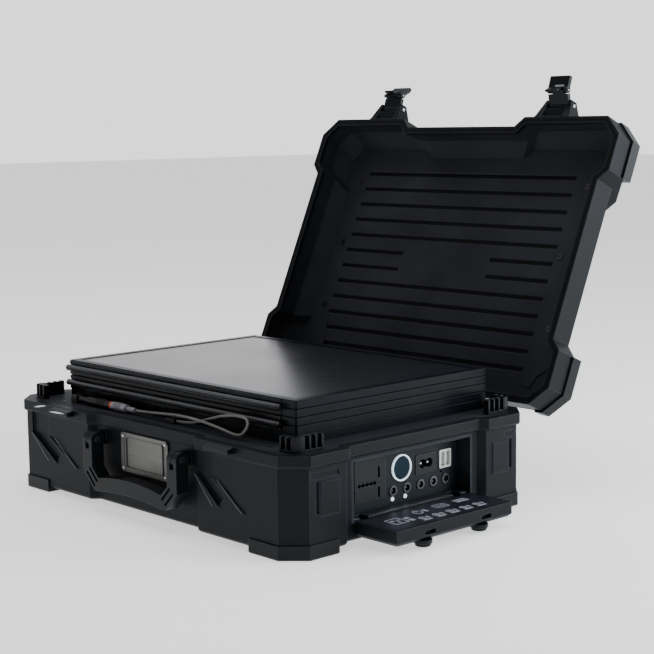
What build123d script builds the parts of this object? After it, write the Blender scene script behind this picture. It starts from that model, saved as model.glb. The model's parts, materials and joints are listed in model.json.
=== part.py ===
"""Solar suitcase kit: a hard case with folding solar panels on its deck and a port bay in its right side.

The case frame has its origin on the floor under the middle of the case, +X to the right along the long side,
+Y to the rear and +Z up. The handle is at the front and the port bay faces +X. Lid and door pieces are drawn
closed and then turned to the pose in which the kit stands: lid open, door lying open, handle down, panels
folded. At the end everything is moved so that the origin is at the bottom centre of the object's bounding box.
Millimetres and degrees.
"""

import math
import os

from build123d import *

# ---- driving dimensions: case ---------------------------------------------------------------------------------

BODY_X, BODY_Y = 198.5, 142.5  # half length and half width of the base
CORNER = 18.0  # corner chamfer
RECESS = 6.5  # depth of the recesses between the base's corner pods
FRONT_RECESS, SIDE_RECESS = 73.0, 78.0  # their half lengths
WALL = 3.5
UNDERSIDE_Z = 4.5
FLANGE_Z, RIM_Z = 74.0, 84.3  # rim flange, up to the plane where the lid closes
FLANGE_OUT = 1.5
FLANGE_END = 2.0  # further reach of the flange at the two ends
# each front pod's channel: where its left rib starts and ends and its right rib starts and ends
CHANNELS = ((-172.0, -133.0, -144.0, -99.0), (77.0, 106.0, 100.0, 138.0))

FOOT_Z = 12.0
FOOT_OUT = 1.5
FOOT_X, FOOT_Y = 146.0, 94.0  # feet start this far from the middle

DECK_T = 4.0
DECK_IN = 7.0  # deck's edge inside the base's outline
LEDGE = 6.0  # ledge that carries the deck
DECK_SCREW_X = (-150.0, -50.0, 50.0, 150.0)
DECK_SCREW_Y = (-122.0, 131.5)

POST_X, POST_Y = (170.0, 188.0), (99.0, 130.0)
POST_H = 12.7

LID_X, LID_Y = 202.0, 142.0
LID_RECESS = 10.0
LID_Z = RIM_Z + 0.5  # lower edge of the closed lid
LID_SIDE_Z = 109.0  # where the lid's sides turn in
LID_TOP = 128.0
LID_SLOPE, LID_SLOPE_REAR = 16.0, 6.0  # how far the sides and front, and the rear, slope in
LID_LIP, LID_LIP_H = 7.0, 4.2  # thicker rim that holds the seal
LID_OPEN = 113.9
LINER_T = 2.4

HINGE_Y, HINGE_Z, HINGE_R = 150.0, 79.9, 5.5
HINGE_PIN_R = 2.0
LID_HINGES = (-100.0, 100.0)
LID_KNUCKLE = 12.0  # half length of the lid's knuckle
BASE_KNUCKLES = ((-26.4, -12.4), (12.4, 26.4))
FIT = 0.05  # radial clearance of a pin in its bore

# ---- driving dimensions: solar panels -------------------------------------------------------------------------

PANEL_X = 162.0
PANEL_FRONT, PANEL_REAR = -105.0, 126.0
STACK_TOP = 120.5
PITCH = 6.95  # height of one folded layer
LAYER_GAP = 0.4
PANEL_BORDER, PANEL_LIP = 6.0, 2.0
SHEET_DOWN, SHEET_UP = 1.0, 0.5  # laminate's faces below and above the frame's
TRAY_TOP = STACK_TOP - 4 * PITCH - 0.2
BARREL_R = 2.9
BARREL_OUT = 3.2  # hinge axis outside the panel's edge
BARREL_X = (-160.0, 144.0)
BARREL_PIECES = 9
BARREL_GAP = 0.4
LEAF_T, LEAF_IN, LEAF_OUT = 1.2, 3.3, 6.3
PANEL_PIN_R = 1.0
AXIS_AB = STACK_TOP - PITCH
AXIS_BC = STACK_TOP - 2 * PITCH
AXIS_CD = STACK_TOP - 3 * PITCH
FRONT_AXIS_Y = PANEL_FRONT - BARREL_OUT
REAR_AXIS_Y = PANEL_REAR + BARREL_OUT

# ---- driving dimensions: port bay and door --------------------------------------------------------------------

BAY_Y = 70.5  # half width of the bay
BAY_Z = (21.0, 69.5)
BAY_T = 1.8
BAY_FRONT = BODY_X - RECESS
FACE_X, FACE_T = 176.0, 3.0  # faceplate's face and thickness
BEZEL = 0.8  # how far the modules stand out of the faceplate
SOCKET_Y, SOCKET_Z, SOCKET = -36.6, 46.7, 36.0
BUTTON_Y, BUTTON_Z = 0.6, 51.1
BUTTON_R, HALO_R = 10.0, 11.4
BUTTON_TRAVEL = 1.5
INLET_Y, INLET_Z = 30.4, 50.2
USB_Y, USB_Z = 54.7, 50.7
JACK_Y, JACK_Z = (-9.2, 7.6, 24.3, 40.2, 55.8), 32.6
LAMP_Y, LAMP_Z = (-10.0, 5.4), 25.6

DOOR_Y = 69.5
DOOR_Z = (21.5, 68.5)
DOOR_T = 13.0
DOOR_AXIS_X, DOOR_AXIS_Z = 185.5, 14.0
DOOR_PIN_R, ARM_R = 1.5, 4.0
SILL_R = 7.2  # rounding of the bay's sill about the door's axis
ARM_Y, ARM_HALF, ARM_ROOM = (-56.0, 56.0), 4.0, 0.6
KNOB_Y, KNOB_Z = (-34.0, 34.0), 62.8
KNOB_NAMES = ("front", "rear")
KNOB_R, KNOB_T = 7.8, 5.9
TONGUE = 8.7  # reach of a knob's tongue
TONGUE_X = (184.5, 187.5)

# ---- driving dimensions: handle and latches -------------------------------------------------------------------

FRONT_WALL_Y = RECESS - BODY_Y  # wall between the front pods
HANDLE_Y, HANDLE_Z = -149.0, 64.5
HANDLE_X = 68.0
ARM_W = 13.0
HANDLE_DEPTH = 13.0
HANDLE_LOW = 20.0
CHEEK = 3.6
HANDLE_PIN_R = 2.5

LATCH_X = (-115.0, 115.0)
LATCH_NAMES = ("left", "right")
CLAW_OPEN = (82.0, 56.0)  # how far each claw stands from its closed pose
LEVER_OPEN = (46.0, 28.0)  # how far each lever stands from its claw's line
LATCH_Y, LATCH_Z = -157.0, 95.0
CLAW_LEN, LEVER_LEN = 16.0, 14.0
CLAW_HALF = 12.0
EAR_IN, EAR_TIP, EAR_BASE = 12.4, 15.4, 21.5  # ears' inner face, and outer faces at the tip and the root
LATCH_PIN_R = 1.8

# ---- driving dimensions: lead on the front deck ---------------------------------------------------------------

LEAD_D = 2.4
PLUG_Y, PLUG_Z, PLUG_R = -117.5, 88.4, 3.75
LEAD_ROUTE = [
    (-40, PLUG_Y, PLUG_Z),
    (-26, -117.6, 88.9),
    (0, -118.4, 90.9),
    (28, -119.7, 93.2),
    (56, -120.6, 92.8),
    (84, -122.2, 90.6),
    (100, -123.4, 88.6),
    (113, -124, 87.6),
    (117.8, -121.5, 91.7),
    (117.8, -118.1, 97.4),
    (113, -115.7, 101.5),
    (100.5, -115.2, 101.9),
    (80, -115.2, 99.2),
    (61, -115.4, 93.4),
    (44, -115.6, 88.4),
    (31, -115.8, 86.7),
    (19, -116, 86.4),
]

parts = {}


# ---- shared shapes --------------------------------------------------------------------------------------------


def outline(out, half_x=BODY_X, half_y=BODY_Y, depth=RECESS):
    """Corner points of the case's plan, grown by out all round: chamfered corners, recessed front and sides."""
    x = half_x + out
    y = half_y + out
    corner = CORNER + out * (2 - math.sqrt(2))
    front = FRONT_RECESS - out * (math.sqrt(2) - 1)
    side = SIDE_RECESS - out * (math.sqrt(2) - 1)
    right = [
        (front, depth - y),
        (front + depth, -y),
        (x - corner, -y),
        (x, corner - y),
        (x, -side - depth),
        (x - depth, -side),
        (x - depth, side),
        (x, side + depth),
        (x, y - corner),
        (x - corner, y),
    ]
    return right + [(-px, py) for px, py in reversed(right)]


def lid_outline(out):
    """Corner points of the lid's plan, grown by out all round."""
    return outline(out, LID_X, LID_Y, LID_RECESS)


def prism(points, z0, z1):
    """A closed outline extruded from z0 to z1."""
    face = make_face(Polyline(*points, close=True))
    return Pos(0, 0, z0) * extrude(face, z1 - z0)


def frustum(lower, z0, upper, z1):
    """A solid with flat faces between two outlines that have the same number of corners."""
    low = [(x, y, z0) for x, y in lower]
    high = [(x, y, z1) for x, y in upper]
    rings = [low, high]
    for i in range(len(low)):
        rings.append([low[i - 1], low[i], high[i], high[i - 1]])
    return Solid(Shell([Face(Wire.make_polygon(ring, close=True)) for ring in rings]))


def block(x0, x1, y0, y1, z0, z1):
    """A box given by its faces."""
    return Pos((x0 + x1) / 2, (y0 + y1) / 2, (z0 + z1) / 2) * Box(abs(x1 - x0), abs(y1 - y0), abs(z1 - z0))


def rod_x(x0, x1, y, z, radius):
    """A round bar along X."""
    return Pos((x0 + x1) / 2, y, z) * Rot(0, 90, 0) * Cylinder(radius, abs(x1 - x0))


def rod_y(y0, y1, x, z, radius):
    """A round bar along Y."""
    return Pos(x, (y0 + y1) / 2, z) * Rot(90, 0, 0) * Cylinder(radius, abs(y1 - y0))


def rod_z(z0, z1, x, y, radius):
    """A round bar along Z."""
    return Pos(x, y, (z0 + z1) / 2) * Cylinder(radius, abs(z1 - z0))


def profile_x(points, x0, x1):
    """A (y, z) outline extruded along X."""
    face = make_face(Polyline(*[(x0, y, z) for y, z in points], close=True))
    return extrude(face, x1 - x0, dir=(1, 0, 0))


def profile_y(points, y0, y1):
    """An (x, z) outline extruded along Y."""
    face = make_face(Polyline(*[(x, y0, z) for x, z in points], close=True))
    return extrude(face, y1 - y0, dir=(0, 1, 0))


def both_sides(shape):
    """The shape and its mirror image across the middle of the case."""
    return [shape, mirror(shape, Plane.YZ)]


def four_corners(shape):
    """The shape at all four corners."""
    pair = both_sides(shape)
    return pair + [mirror(s, Plane.XZ) for s in pair]


def turned(shape, angle, y, z):
    """The shape turned about the X direction through (y, z)."""
    return Pos(0, y, z) * Rot(angle, 0, 0) * Pos(0, -y, -z) * shape


def opened_lid(shape):
    """A lid piece moved from the closed pose to the open one."""
    return turned(shape, -LID_OPEN, HINGE_Y, HINGE_Z)


def opened_door(shape):
    """A door piece moved from the closed pose to the open one."""
    return Pos(DOOR_AXIS_X, 0, DOOR_AXIS_Z) * Rot(0, 90, 0) * Pos(-DOOR_AXIS_X, 0, -DOOR_AXIS_Z) * shape


def add(name, shapes, place=None):
    """Files a node as a compound of its separate solids."""
    shapes = shapes if isinstance(shapes, list) else [shapes]
    placed = [place(s) if place else s for s in shapes]
    parts[name] = Compound(children=[solid for s in placed for solid in s.solids()])


# ---- base -----------------------------------------------------------------------------------------------------


def build_base_shell():
    body = prism(outline(0), UNDERSIDE_Z, FLANGE_Z)
    body = chamfer(body.faces().sort_by(Axis.Z)[0].edges(), 2.0)
    flange = prism(outline(FLANGE_OUT, BODY_X + FLANGE_END), FLANGE_Z, RIM_Z)
    shell = body + chamfer(flange.faces().sort_by(Axis.Z)[0].edges(), 1.4)
    ledge_z = RIM_Z - DECK_T
    floor_z = UNDERSIDE_Z + WALL
    shell -= prism(outline(-WALL), floor_z, FLANGE_Z)
    shell -= prism(outline(-DECK_IN - LEDGE), floor_z, RIM_Z)
    shell -= prism(outline(-DECK_IN), ledge_z, RIM_Z)

    # a channel down each front pod from the flange, ending in a slanted wedge between two slanted ribs
    front = -BODY_Y
    rib_w, rib_out, field_deep = 3.4, 1.3, 2.2
    top_z, low_z = 54.0, 30.5
    for top_a, low_a, top_b, low_b in CHANNELS:
        tip = (low_a + 9, low_z + 9)
        field = [(top_a, FLANGE_Z), (top_b, FLANGE_Z), (top_b, top_z), tip, (low_a, low_z), (top_a, top_z)]
        shell -= profile_y(field, front - 1, front + field_deep) & block(-300, 300, front, 0, 0, FLANGE_Z)
        for top, low in ((top_a, low_a), (top_b, low_b)):
            rib = [(top, top_z), (top + rib_w, top_z), (low + rib_w, low_z), (low, low_z)]
            shell += profile_y(rib, front - rib_out, front + field_deep)
    # on each pod of the two ends, a slot beside a raised block, with a sunk strip above them
    block_out, block_w = 1.2, 22.0
    for y in (-118.0, 114.0):
        inward = 1 if y < 0 else -1
        for x in (-BODY_X, BODY_X):
            shell -= block(x - 1.6, x + 1.6, y, y + 4, 36, 62)
            shell -= block(x - 1.0, x + 1.0, y - 5, y + 26, 64.5, 69.5)
            near = y + 4.6 if inward > 0 else y - 0.6
            y0, y1 = sorted((near, near + inward * block_w))
            shell += chamfer(block(x - block_out, x + block_out, y0, y1, 33, 62.5).edges(), 1.0)

    # port bay opening and the notches for the door's arms
    room = BAY_T
    shell -= block(BAY_FRONT - 5, BAY_FRONT + 1, -BAY_Y - room, BAY_Y + room, BAY_Z[0] - room, BAY_Z[1] + room)
    for y in ARM_Y:
        half = ARM_HALF + ARM_ROOM
        shell -= block(BAY_FRONT - 5, BAY_FRONT + 1, y - half, y + half, floor_z, BAY_Z[0])
    shell -= sill_room()
    for x, y in deck_screw_places():
        shell -= rod_z(ledge_z - 8, ledge_z, x, y, 1.5 + FIT)
    for lug in handle_lugs():
        shell += lug
    add("base_shell", shell)


def deck_screw_places():
    """Where the deck is screwed to the base's ledge."""
    rows = [(x, y) for x in DECK_SCREW_X for y in DECK_SCREW_Y]
    return [(x, y) for x, y in rows if y > 0 or abs(x) > FRONT_RECESS]


def build_feet_and_deck():
    foot = prism(outline(FOOT_OUT), 0, FOOT_Z) & block(FOOT_X, 300, FOOT_Y, 300, 0, FOOT_Z)
    foot -= prism(outline(0), UNDERSIDE_Z, FOOT_Z)
    foot = chamfer(foot.faces().sort_by(Axis.Z)[0].edges(), 1.0)
    add("corner_feet", four_corners(foot))

    deck = prism(outline(-DECK_IN), RIM_Z - DECK_T, RIM_Z)
    head_r, head_t, shank_r, slot = 3.3, 1.4, 1.5, 0.5
    heads = []
    for x, y in deck_screw_places():
        deck -= rod_z(RIM_Z - DECK_T, RIM_Z, x, y, shank_r + FIT)
        deck -= rod_z(RIM_Z - head_t, RIM_Z, x, y, head_r + FIT)
        screw = rod_z(RIM_Z - DECK_T - 6, RIM_Z - head_t, x, y, shank_r)
        screw += rod_z(RIM_Z - head_t, RIM_Z - 0.1, x, y, head_r)
        screw -= block(x - 2.2, x + 2.2, y - slot, y + slot, RIM_Z - 0.8, RIM_Z)
        heads.append(screw)
    add("deck_plate", deck)
    add("deck_screws", heads)

    # ribbed corner posts that keep the folded panels in place
    top = RIM_Z + POST_H
    post = block(*POST_X, *POST_Y, RIM_Z, top)
    post = fillet(post.edges().filter_by(Axis.Z).sort_by(lambda e: e.center().X + e.center().Y)[-1], 8.0)
    post -= block(POST_X[0] - 1, POST_X[1] - 6, POST_Y[0] - 1, POST_Y[1] - 6, RIM_Z, top)
    pocket_w, wall = 5.0, 1.6
    for i in range(3):
        y = POST_Y[0] + 2 + i * (pocket_w + wall)
        post -= block(POST_X[1] - 4.4, POST_X[1], y, y + pocket_w, RIM_Z + 2, top)
    for i in range(2):
        x = POST_X[0] + wall + i * (pocket_w + wall)
        post -= block(x, x + pocket_w, POST_Y[1] - 4.4, POST_Y[1], RIM_Z + 2, top)
    add("corner_posts", four_corners(post))


def build_power_parts():
    floor_z = UNDERSIDE_Z + WALL
    pack = block(-150, 105, -100, 105, floor_z, floor_z + 46)
    pack = fillet(pack.edges().filter_by(Axis.Z), 6.0)
    add("battery_pack", pack)
    board_x, board_t = 132.0, 1.6
    board = block(board_x, board_x + board_t, -95, 95, floor_z, FLANGE_Z - 2)
    for i in range(4):
        y = -80 + 45 * i
        board += rod_x(board_x - 14, board_x, y, floor_z + 30, 9)
        board += block(board_x + board_t, board_x + 12, y - 10, y + 10, floor_z + 8, floor_z + 40)
    add("power_board", board)


def build_lid_hinges():
    base_profile = [
        (BODY_Y, 58),
        (BODY_Y + 3.5, 58),
        (HINGE_Y + 4, 75),
        (HINGE_Y, HINGE_Z),
        (BODY_Y + FLANGE_OUT, HINGE_Z),
        (BODY_Y + FLANGE_OUT, FLANGE_Z),
        (BODY_Y, FLANGE_Z),
    ]
    lid_profile = [(LID_Y, LID_Z + 0.5), (HINGE_Y, LID_Z + 0.5), (154.5, 82.5), (146, 98), (LID_Y, 98)]
    base_leaves = []
    lid_leaves = []
    pins = []
    for centre in LID_HINGES:
        for a, b in BASE_KNUCKLES:
            leaf = profile_x(base_profile, centre + a, centre + b)
            leaf += rod_x(centre + a, centre + b, HINGE_Y, HINGE_Z, HINGE_R)
            base_leaves.append(leaf - rod_x(centre - 40, centre + 40, HINGE_Y, HINGE_Z, HINGE_PIN_R + FIT))
        leaf = profile_x(lid_profile, centre - LID_KNUCKLE, centre + LID_KNUCKLE)
        leaf += rod_x(centre - LID_KNUCKLE, centre + LID_KNUCKLE, HINGE_Y, HINGE_Z, HINGE_R)
        lid_leaves.append(leaf - rod_x(centre - 40, centre + 40, HINGE_Y, HINGE_Z, HINGE_PIN_R + FIT))
        end = BASE_KNUCKLES[1][1]
        pin = rod_x(centre - end, centre + end, HINGE_Y, HINGE_Z, HINGE_PIN_R)
        pins.append(pin + rod_x(centre + end, centre + end + 1.5, HINGE_Y, HINGE_Z, HINGE_PIN_R + 1.4))
    add("hinge_base_brackets", base_leaves)
    add("lid_hinge_pins", pins)
    add("hinge_lid_brackets", lid_leaves, opened_lid)


# ---- port bay and door ----------------------------------------------------------------------------------------


def sill_room():
    """The room past the bay's rounded sill, through which the door's lower edge swings."""
    room = block(DOOR_AXIS_X, BAY_FRONT + 1, -BAY_Y, BAY_Y, DOOR_AXIS_Z, BAY_Z[0])
    return room - rod_y(-BAY_Y, BAY_Y, DOOR_AXIS_X, DOOR_AXIS_Z, SILL_R)


def build_port_bay():
    back = FACE_X - FACE_T
    bay = block(back, BAY_FRONT, -BAY_Y - BAY_T, BAY_Y + BAY_T, BAY_Z[0] - BAY_T, BAY_Z[1] + BAY_T)
    bay -= block(back, BAY_FRONT, -BAY_Y, BAY_Y, *BAY_Z)
    floor_z = UNDERSIDE_Z + WALL
    half = ARM_HALF + ARM_ROOM
    pins = []
    for y in ARM_Y:
        # a pocket under the bay's floor for each arm of the door, with the hinge pin across it
        ear = half + 1.6
        bay += block(178, BAY_FRONT - WALL, y - ear, y + ear, floor_z, BAY_Z[0])
        bay -= block(179.6, BAY_FRONT, y - half, y + half, floor_z + 1.4, BAY_Z[0])
        bay -= rod_y(y - ear, y + ear, DOOR_AXIS_X, DOOR_AXIS_Z, DOOR_PIN_R + FIT)
        pins.append(rod_y(y - ear, y + ear, DOOR_AXIS_X, DOOR_AXIS_Z, DOOR_PIN_R))
    for y in KNOB_Y:
        # keeper slot for a knob's tongue
        bay -= block(TONGUE_X[0] - 0.5, TONGUE_X[1] + 0.5, y - 3, y + 3, BAY_Z[1], BAY_Z[1] + BAY_T)
    add("port_bay", bay - sill_room())
    add("door_hinge_pins", pins)

    plate = block(back, FACE_X, -BAY_Y, BAY_Y, *BAY_Z)
    socket_half = SOCKET / 2 - 1.6
    plate -= around(SOCKET_Y, SOCKET_Z, socket_half, socket_half, back, FACE_X)
    plate -= around(INLET_Y, INLET_Z, 11.0, 7.0, back, FACE_X)
    plate -= around(USB_Y, USB_Z, 6.4, 7.0, back, FACE_X)
    plate -= rod_x(back, FACE_X, BUTTON_Y, BUTTON_Z, BUTTON_R + 0.3)
    for y in JACK_Y:
        plate -= rod_x(back, FACE_X, y, JACK_Z, 3.9)
    for y in LAMP_Y:
        plate -= rod_x(back, FACE_X, y, LAMP_Z, 1.9)
    plate -= rod_x(back, FACE_X, 50, 39.6, 1.2)
    add("port_faceplate", plate)


def around(y, z, half_y, half_z, x0, x1):
    """A box centred on a point of the faceplate."""
    return block(x0, x1, y - half_y, y + half_y, z - half_z, z + half_z)


def build_ports():
    front = FACE_X + BEZEL
    half = SOCKET / 2
    socket = around(SOCKET_Y, SOCKET_Z, half, half, FACE_X, front)
    socket = fillet(socket.edges().filter_by(Axis.X), 2.0)
    socket += around(SOCKET_Y, SOCKET_Z, half - 1.7, half - 1.7, FACE_X - 16, FACE_X)
    for z in (52.0, 34.6):
        socket -= around(SOCKET_Y + 10.1, z, 1.3, 4.8, FACE_X - 12, front)
    for i in range(5):
        socket -= rod_x(FACE_X - 12, front, SOCKET_Y - 13 + 4.6 * i, 43.2, 1.8)
    socket -= around(SOCKET_Y - 4, 43.2, 9, 0.7, FACE_X - 12, front)
    add("socket_module", socket)

    inlet = around(INLET_Y, INLET_Z, 12.5, 8.5, FACE_X, front)
    inlet = fillet(inlet.edges().filter_by(Axis.X), 1.5)
    inlet += around(INLET_Y, INLET_Z, 10.9, 6.9, FACE_X - 14, FACE_X)
    for side in (-4.3, 4.3):
        inlet -= rod_x(FACE_X - 11, front, INLET_Y + side, INLET_Z, 4.2)
    inlet -= around(INLET_Y, INLET_Z, 3, 3.2, FACE_X - 11, front)
    for side in (-4.3, 4.3):
        inlet += rod_x(FACE_X - 12, FACE_X - 1.5, INLET_Y + side, INLET_Z, 1.2)
    add("mains_inlet", inlet)

    usb = around(USB_Y, USB_Z, 7.35, 8.0, FACE_X, front + 0.4)
    usb = fillet(usb.edges().filter_by(Axis.X), 1.0)
    usb += around(USB_Y, USB_Z, 6.3, 6.9, FACE_X - 14, FACE_X)
    for side in (-3.3, 3.3):
        usb -= around(USB_Y + side, USB_Z, 2.4, 6.2, FACE_X - 11, front + 0.4)
        usb += around(USB_Y + side - 0.9, USB_Z, 0.9, 5.2, FACE_X - 12, FACE_X - 0.5)
    add("usb_module", usb)

    jacks = []
    for y in JACK_Y:
        jack = rod_x(FACE_X, front, y, JACK_Z, 4.6) + rod_x(FACE_X - 12, FACE_X, y, JACK_Z, 3.85)
        jack -= rod_x(FACE_X - 10, front, y, JACK_Z, 2.8)
        jacks.append(jack + rod_x(FACE_X - 11, FACE_X - 0.6, y, JACK_Z, 0.9))
    add("dc_jacks", jacks)
    lamps = [rod_x(FACE_X - 5, front, y, LAMP_Z, 1.85) for y in LAMP_Y]
    lamps = [fillet(lamp.edges().sort_by(Axis.X)[-1], 0.7) for lamp in lamps]
    ring = rod_x(FACE_X, FACE_X + 1.6, BUTTON_Y, BUTTON_Z, HALO_R)
    ring -= rod_x(FACE_X, FACE_X + 1.6, BUTTON_Y, BUTTON_Z, BUTTON_R + 0.3)
    add("status_lights", lamps + [ring])
    cup = rod_x(FACE_X - 14, FACE_X - FACE_T, BUTTON_Y, BUTTON_Z, BUTTON_R + 1.5)
    cup -= rod_x(FACE_X - 12, FACE_X - FACE_T, BUTTON_Y, BUTTON_Z, BUTTON_R + 0.3)
    add("button_housing", cup)
    cap = rod_x(FACE_X - 9, FACE_X + 1.2, BUTTON_Y, BUTTON_Z, BUTTON_R)
    add("power_button", fillet(cap.edges().sort_by(Axis.X)[-1], 0.6))


def build_door():
    inside = BAY_FRONT - DOOR_T
    door = block(inside, BAY_FRONT, -DOOR_Y, DOOR_Y, *DOOR_Z)
    door = chamfer(door.faces().sort_by(Axis.X)[-1].edges(), 2.6)
    door -= block(inside, inside + 0.5, 3 - DOOR_Y, DOOR_Y - 3, DOOR_Z[0] + 3, DOOR_Z[1] - 3)
    for y in ARM_Y:
        arm = block(DOOR_AXIS_X - ARM_R, DOOR_AXIS_X + ARM_R, y - ARM_HALF, y + ARM_HALF, DOOR_AXIS_Z, DOOR_Z[0])
        arm += rod_y(y - ARM_HALF, y + ARM_HALF, DOOR_AXIS_X, DOOR_AXIS_Z, ARM_R)
        door += arm - rod_y(y - 20, y + 20, DOOR_AXIS_X, DOOR_AXIS_Z, DOOR_PIN_R + FIT)
    shaft_r, room, tongue_half = 2.0, 0.4, 2.0
    for name, y in zip(KNOB_NAMES, KNOB_Y):
        door -= rod_x(TONGUE_X[0], BAY_FRONT, y, KNOB_Z, shaft_r + FIT)
        slot = block(TONGUE_X[0] - room, TONGUE_X[1] + room, y - 3.2, y + TONGUE + 0.6, KNOB_Z - 3.2, DOOR_Z[1])
        door -= slot
        knob = rod_x(BAY_FRONT + 0.3, BAY_FRONT + 3.2, y, KNOB_Z, KNOB_R)
        knob += rod_x(BAY_FRONT + 3.2, BAY_FRONT + KNOB_T, y, KNOB_Z, KNOB_R - 1.2)
        knob = chamfer(knob.edges().sort_by(Axis.X)[-1], 0.6)
        knob += rod_x(TONGUE_X[0], BAY_FRONT + 0.3, y, KNOB_Z, shaft_r)
        knob += block(*TONGUE_X, y, y + TONGUE, KNOB_Z - tongue_half, KNOB_Z + tongue_half)
        add(f"door_knob_{name}", knob, opened_door)
    add("port_door", door, opened_door)
    label = block(inside - 0.1, inside + 0.5, 3.3 - DOOR_Y, DOOR_Y - 3.3, DOOR_Z[0] + 3.3, DOOR_Z[1] - 3.3)
    add("door_label", label, opened_door)


# ---- handle and nameplate -------------------------------------------------------------------------------------


def handle_lugs():
    """The two lugs on the front wall that carry the handle, each inside a fork of the handle's arm."""
    lug_x = (HANDLE_X - ARM_W + CHEEK + 0.35, HANDLE_X - CHEEK - 0.35)
    lug_r = HANDLE_DEPTH / 2
    lug = block(*lug_x, HANDLE_Y, FRONT_WALL_Y, HANDLE_Z - lug_r, HANDLE_Z + lug_r)
    lug += rod_x(*lug_x, HANDLE_Y, HANDLE_Z, lug_r)
    return both_sides(lug - rod_x(*lug_x, HANDLE_Y, HANDLE_Z, HANDLE_PIN_R + FIT))


def build_handle():
    pin = rod_x(HANDLE_X - ARM_W, HANDLE_X, HANDLE_Y, HANDLE_Z, HANDLE_PIN_R)
    add("handle_pins", both_sides(pin))

    # the bail: two arms with cut corners and an arched grip
    low, inner_x = HANDLE_LOW, HANDLE_X - ARM_W
    cut, grip_h, rise = 16.0, 12.0, 4.5
    y0, y1 = HANDLE_Y - HANDLE_DEPTH / 2, HANDLE_Y + HANDLE_DEPTH / 2
    outer = [
        (-HANDLE_X, HANDLE_Z),
        (-HANDLE_X, low + cut),
        (cut - HANDLE_X, low),
        (HANDLE_X - cut, low),
        (HANDLE_X, low + cut),
        (HANDLE_X, HANDLE_Z),
    ]
    bail = profile_y(outer, y0, y1)
    grip_z = low + grip_h
    corner_x = inner_x - 9
    window_z = HANDLE_Z + 10
    arch = ThreePointArc((-corner_x, y0, grip_z), (0, y0, grip_z + rise), (corner_x, y0, grip_z))
    rest = Polyline(
        (corner_x, y0, grip_z),
        (inner_x, y0, grip_z + 9),
        (inner_x, y0, window_z),
        (-inner_x, y0, window_z),
        (-inner_x, y0, grip_z + 9),
        (-corner_x, y0, grip_z),
    )
    bail -= extrude(make_face([arch, rest]), HANDLE_DEPTH, dir=(0, 1, 0))
    under = make_face([
        ThreePointArc((-corner_x, y0, low), (0, y0, low + rise - 1.5), (corner_x, y0, low)),
        Line((corner_x, y0, low), (-corner_x, y0, low)),
    ])
    bail -= extrude(under, HANDLE_DEPTH, dir=(0, 1, 0))
    for side in (-1, 1):
        a, b = sorted((side * inner_x, side * HANDLE_X))
        bail += rod_x(a, b, HANDLE_Y, HANDLE_Z, HANDLE_DEPTH / 2)
        bail -= block(a + CHEEK, b - CHEEK, y0 - 1, y1 + 1, HANDLE_Z - 8, HANDLE_Z + 10)
        bail -= rod_x(a, b, HANDLE_Y, HANDLE_Z, HANDLE_PIN_R + FIT)
        # two slots along each cut corner
        middle_x, middle_z, slot_l, slot_w, slot_deep = (HANDLE_X + inner_x) / 2 - 6.2, low + 12.2, 17.0, 2.6, 2.4
        for step in (-2.1, 2.1):
            slot = Box(slot_w, 2 * slot_deep, slot_l)
            bail -= Pos(side * (middle_x + step), y0, middle_z - step) * Rot(0, side * 45, 0) * slot
    add("handle_bail", bail)

    plate_x, plate_z = 34.0, (38.0, 73.0)
    plate = block(-plate_x - 1, plate_x - 1, FRONT_WALL_Y - 1.5, FRONT_WALL_Y, *plate_z)
    plate = chamfer(plate.edges().filter_by(Axis.Y), 2.0)
    plate -= block(-plate_x + 3, plate_x - 5, FRONT_WALL_Y - 1.5, FRONT_WALL_Y - 0.9, plate_z[0] + 4, plate_z[1] - 4)
    rivets = []
    for x in (-plate_x + 1.2, plate_x - 3.2):
        for z in (plate_z[0] + 2.2, plate_z[1] - 2.2):
            plate -= rod_y(FRONT_WALL_Y - 1.5, FRONT_WALL_Y, x, z, 1.0 + FIT)
            rivets.append(rod_y(FRONT_WALL_Y - 1.5, FRONT_WALL_Y, x, z, 1.0) + rod_y(FRONT_WALL_Y - 2.1, FRONT_WALL_Y - 1.5, x, z, 1.5))
    add("name_plate", [plate] + rivets)


# ---- lid ------------------------------------------------------------------------------------------------------


def lid_form(inset, bottom):
    """The closed lid's outer form, shrunk by inset all round, from bottom upwards."""
    rise = LID_TOP - LID_SIDE_Z
    turn_z = LID_SIDE_Z - inset * math.tan(math.atan(LID_SLOPE / rise) / 2)
    share = (LID_TOP - inset - turn_z) / rise
    sides = lid_outline(-inset)
    roof = []
    for x, y in sides:
        slope_y = -LID_SLOPE_REAR if y > 0 else LID_SLOPE
        roof.append((x - math.copysign(share * LID_SLOPE, x), y + share * slope_y))
    return prism(sides, bottom, turn_z) + frustum(sides, turn_z, roof, LID_TOP - inset)


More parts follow.
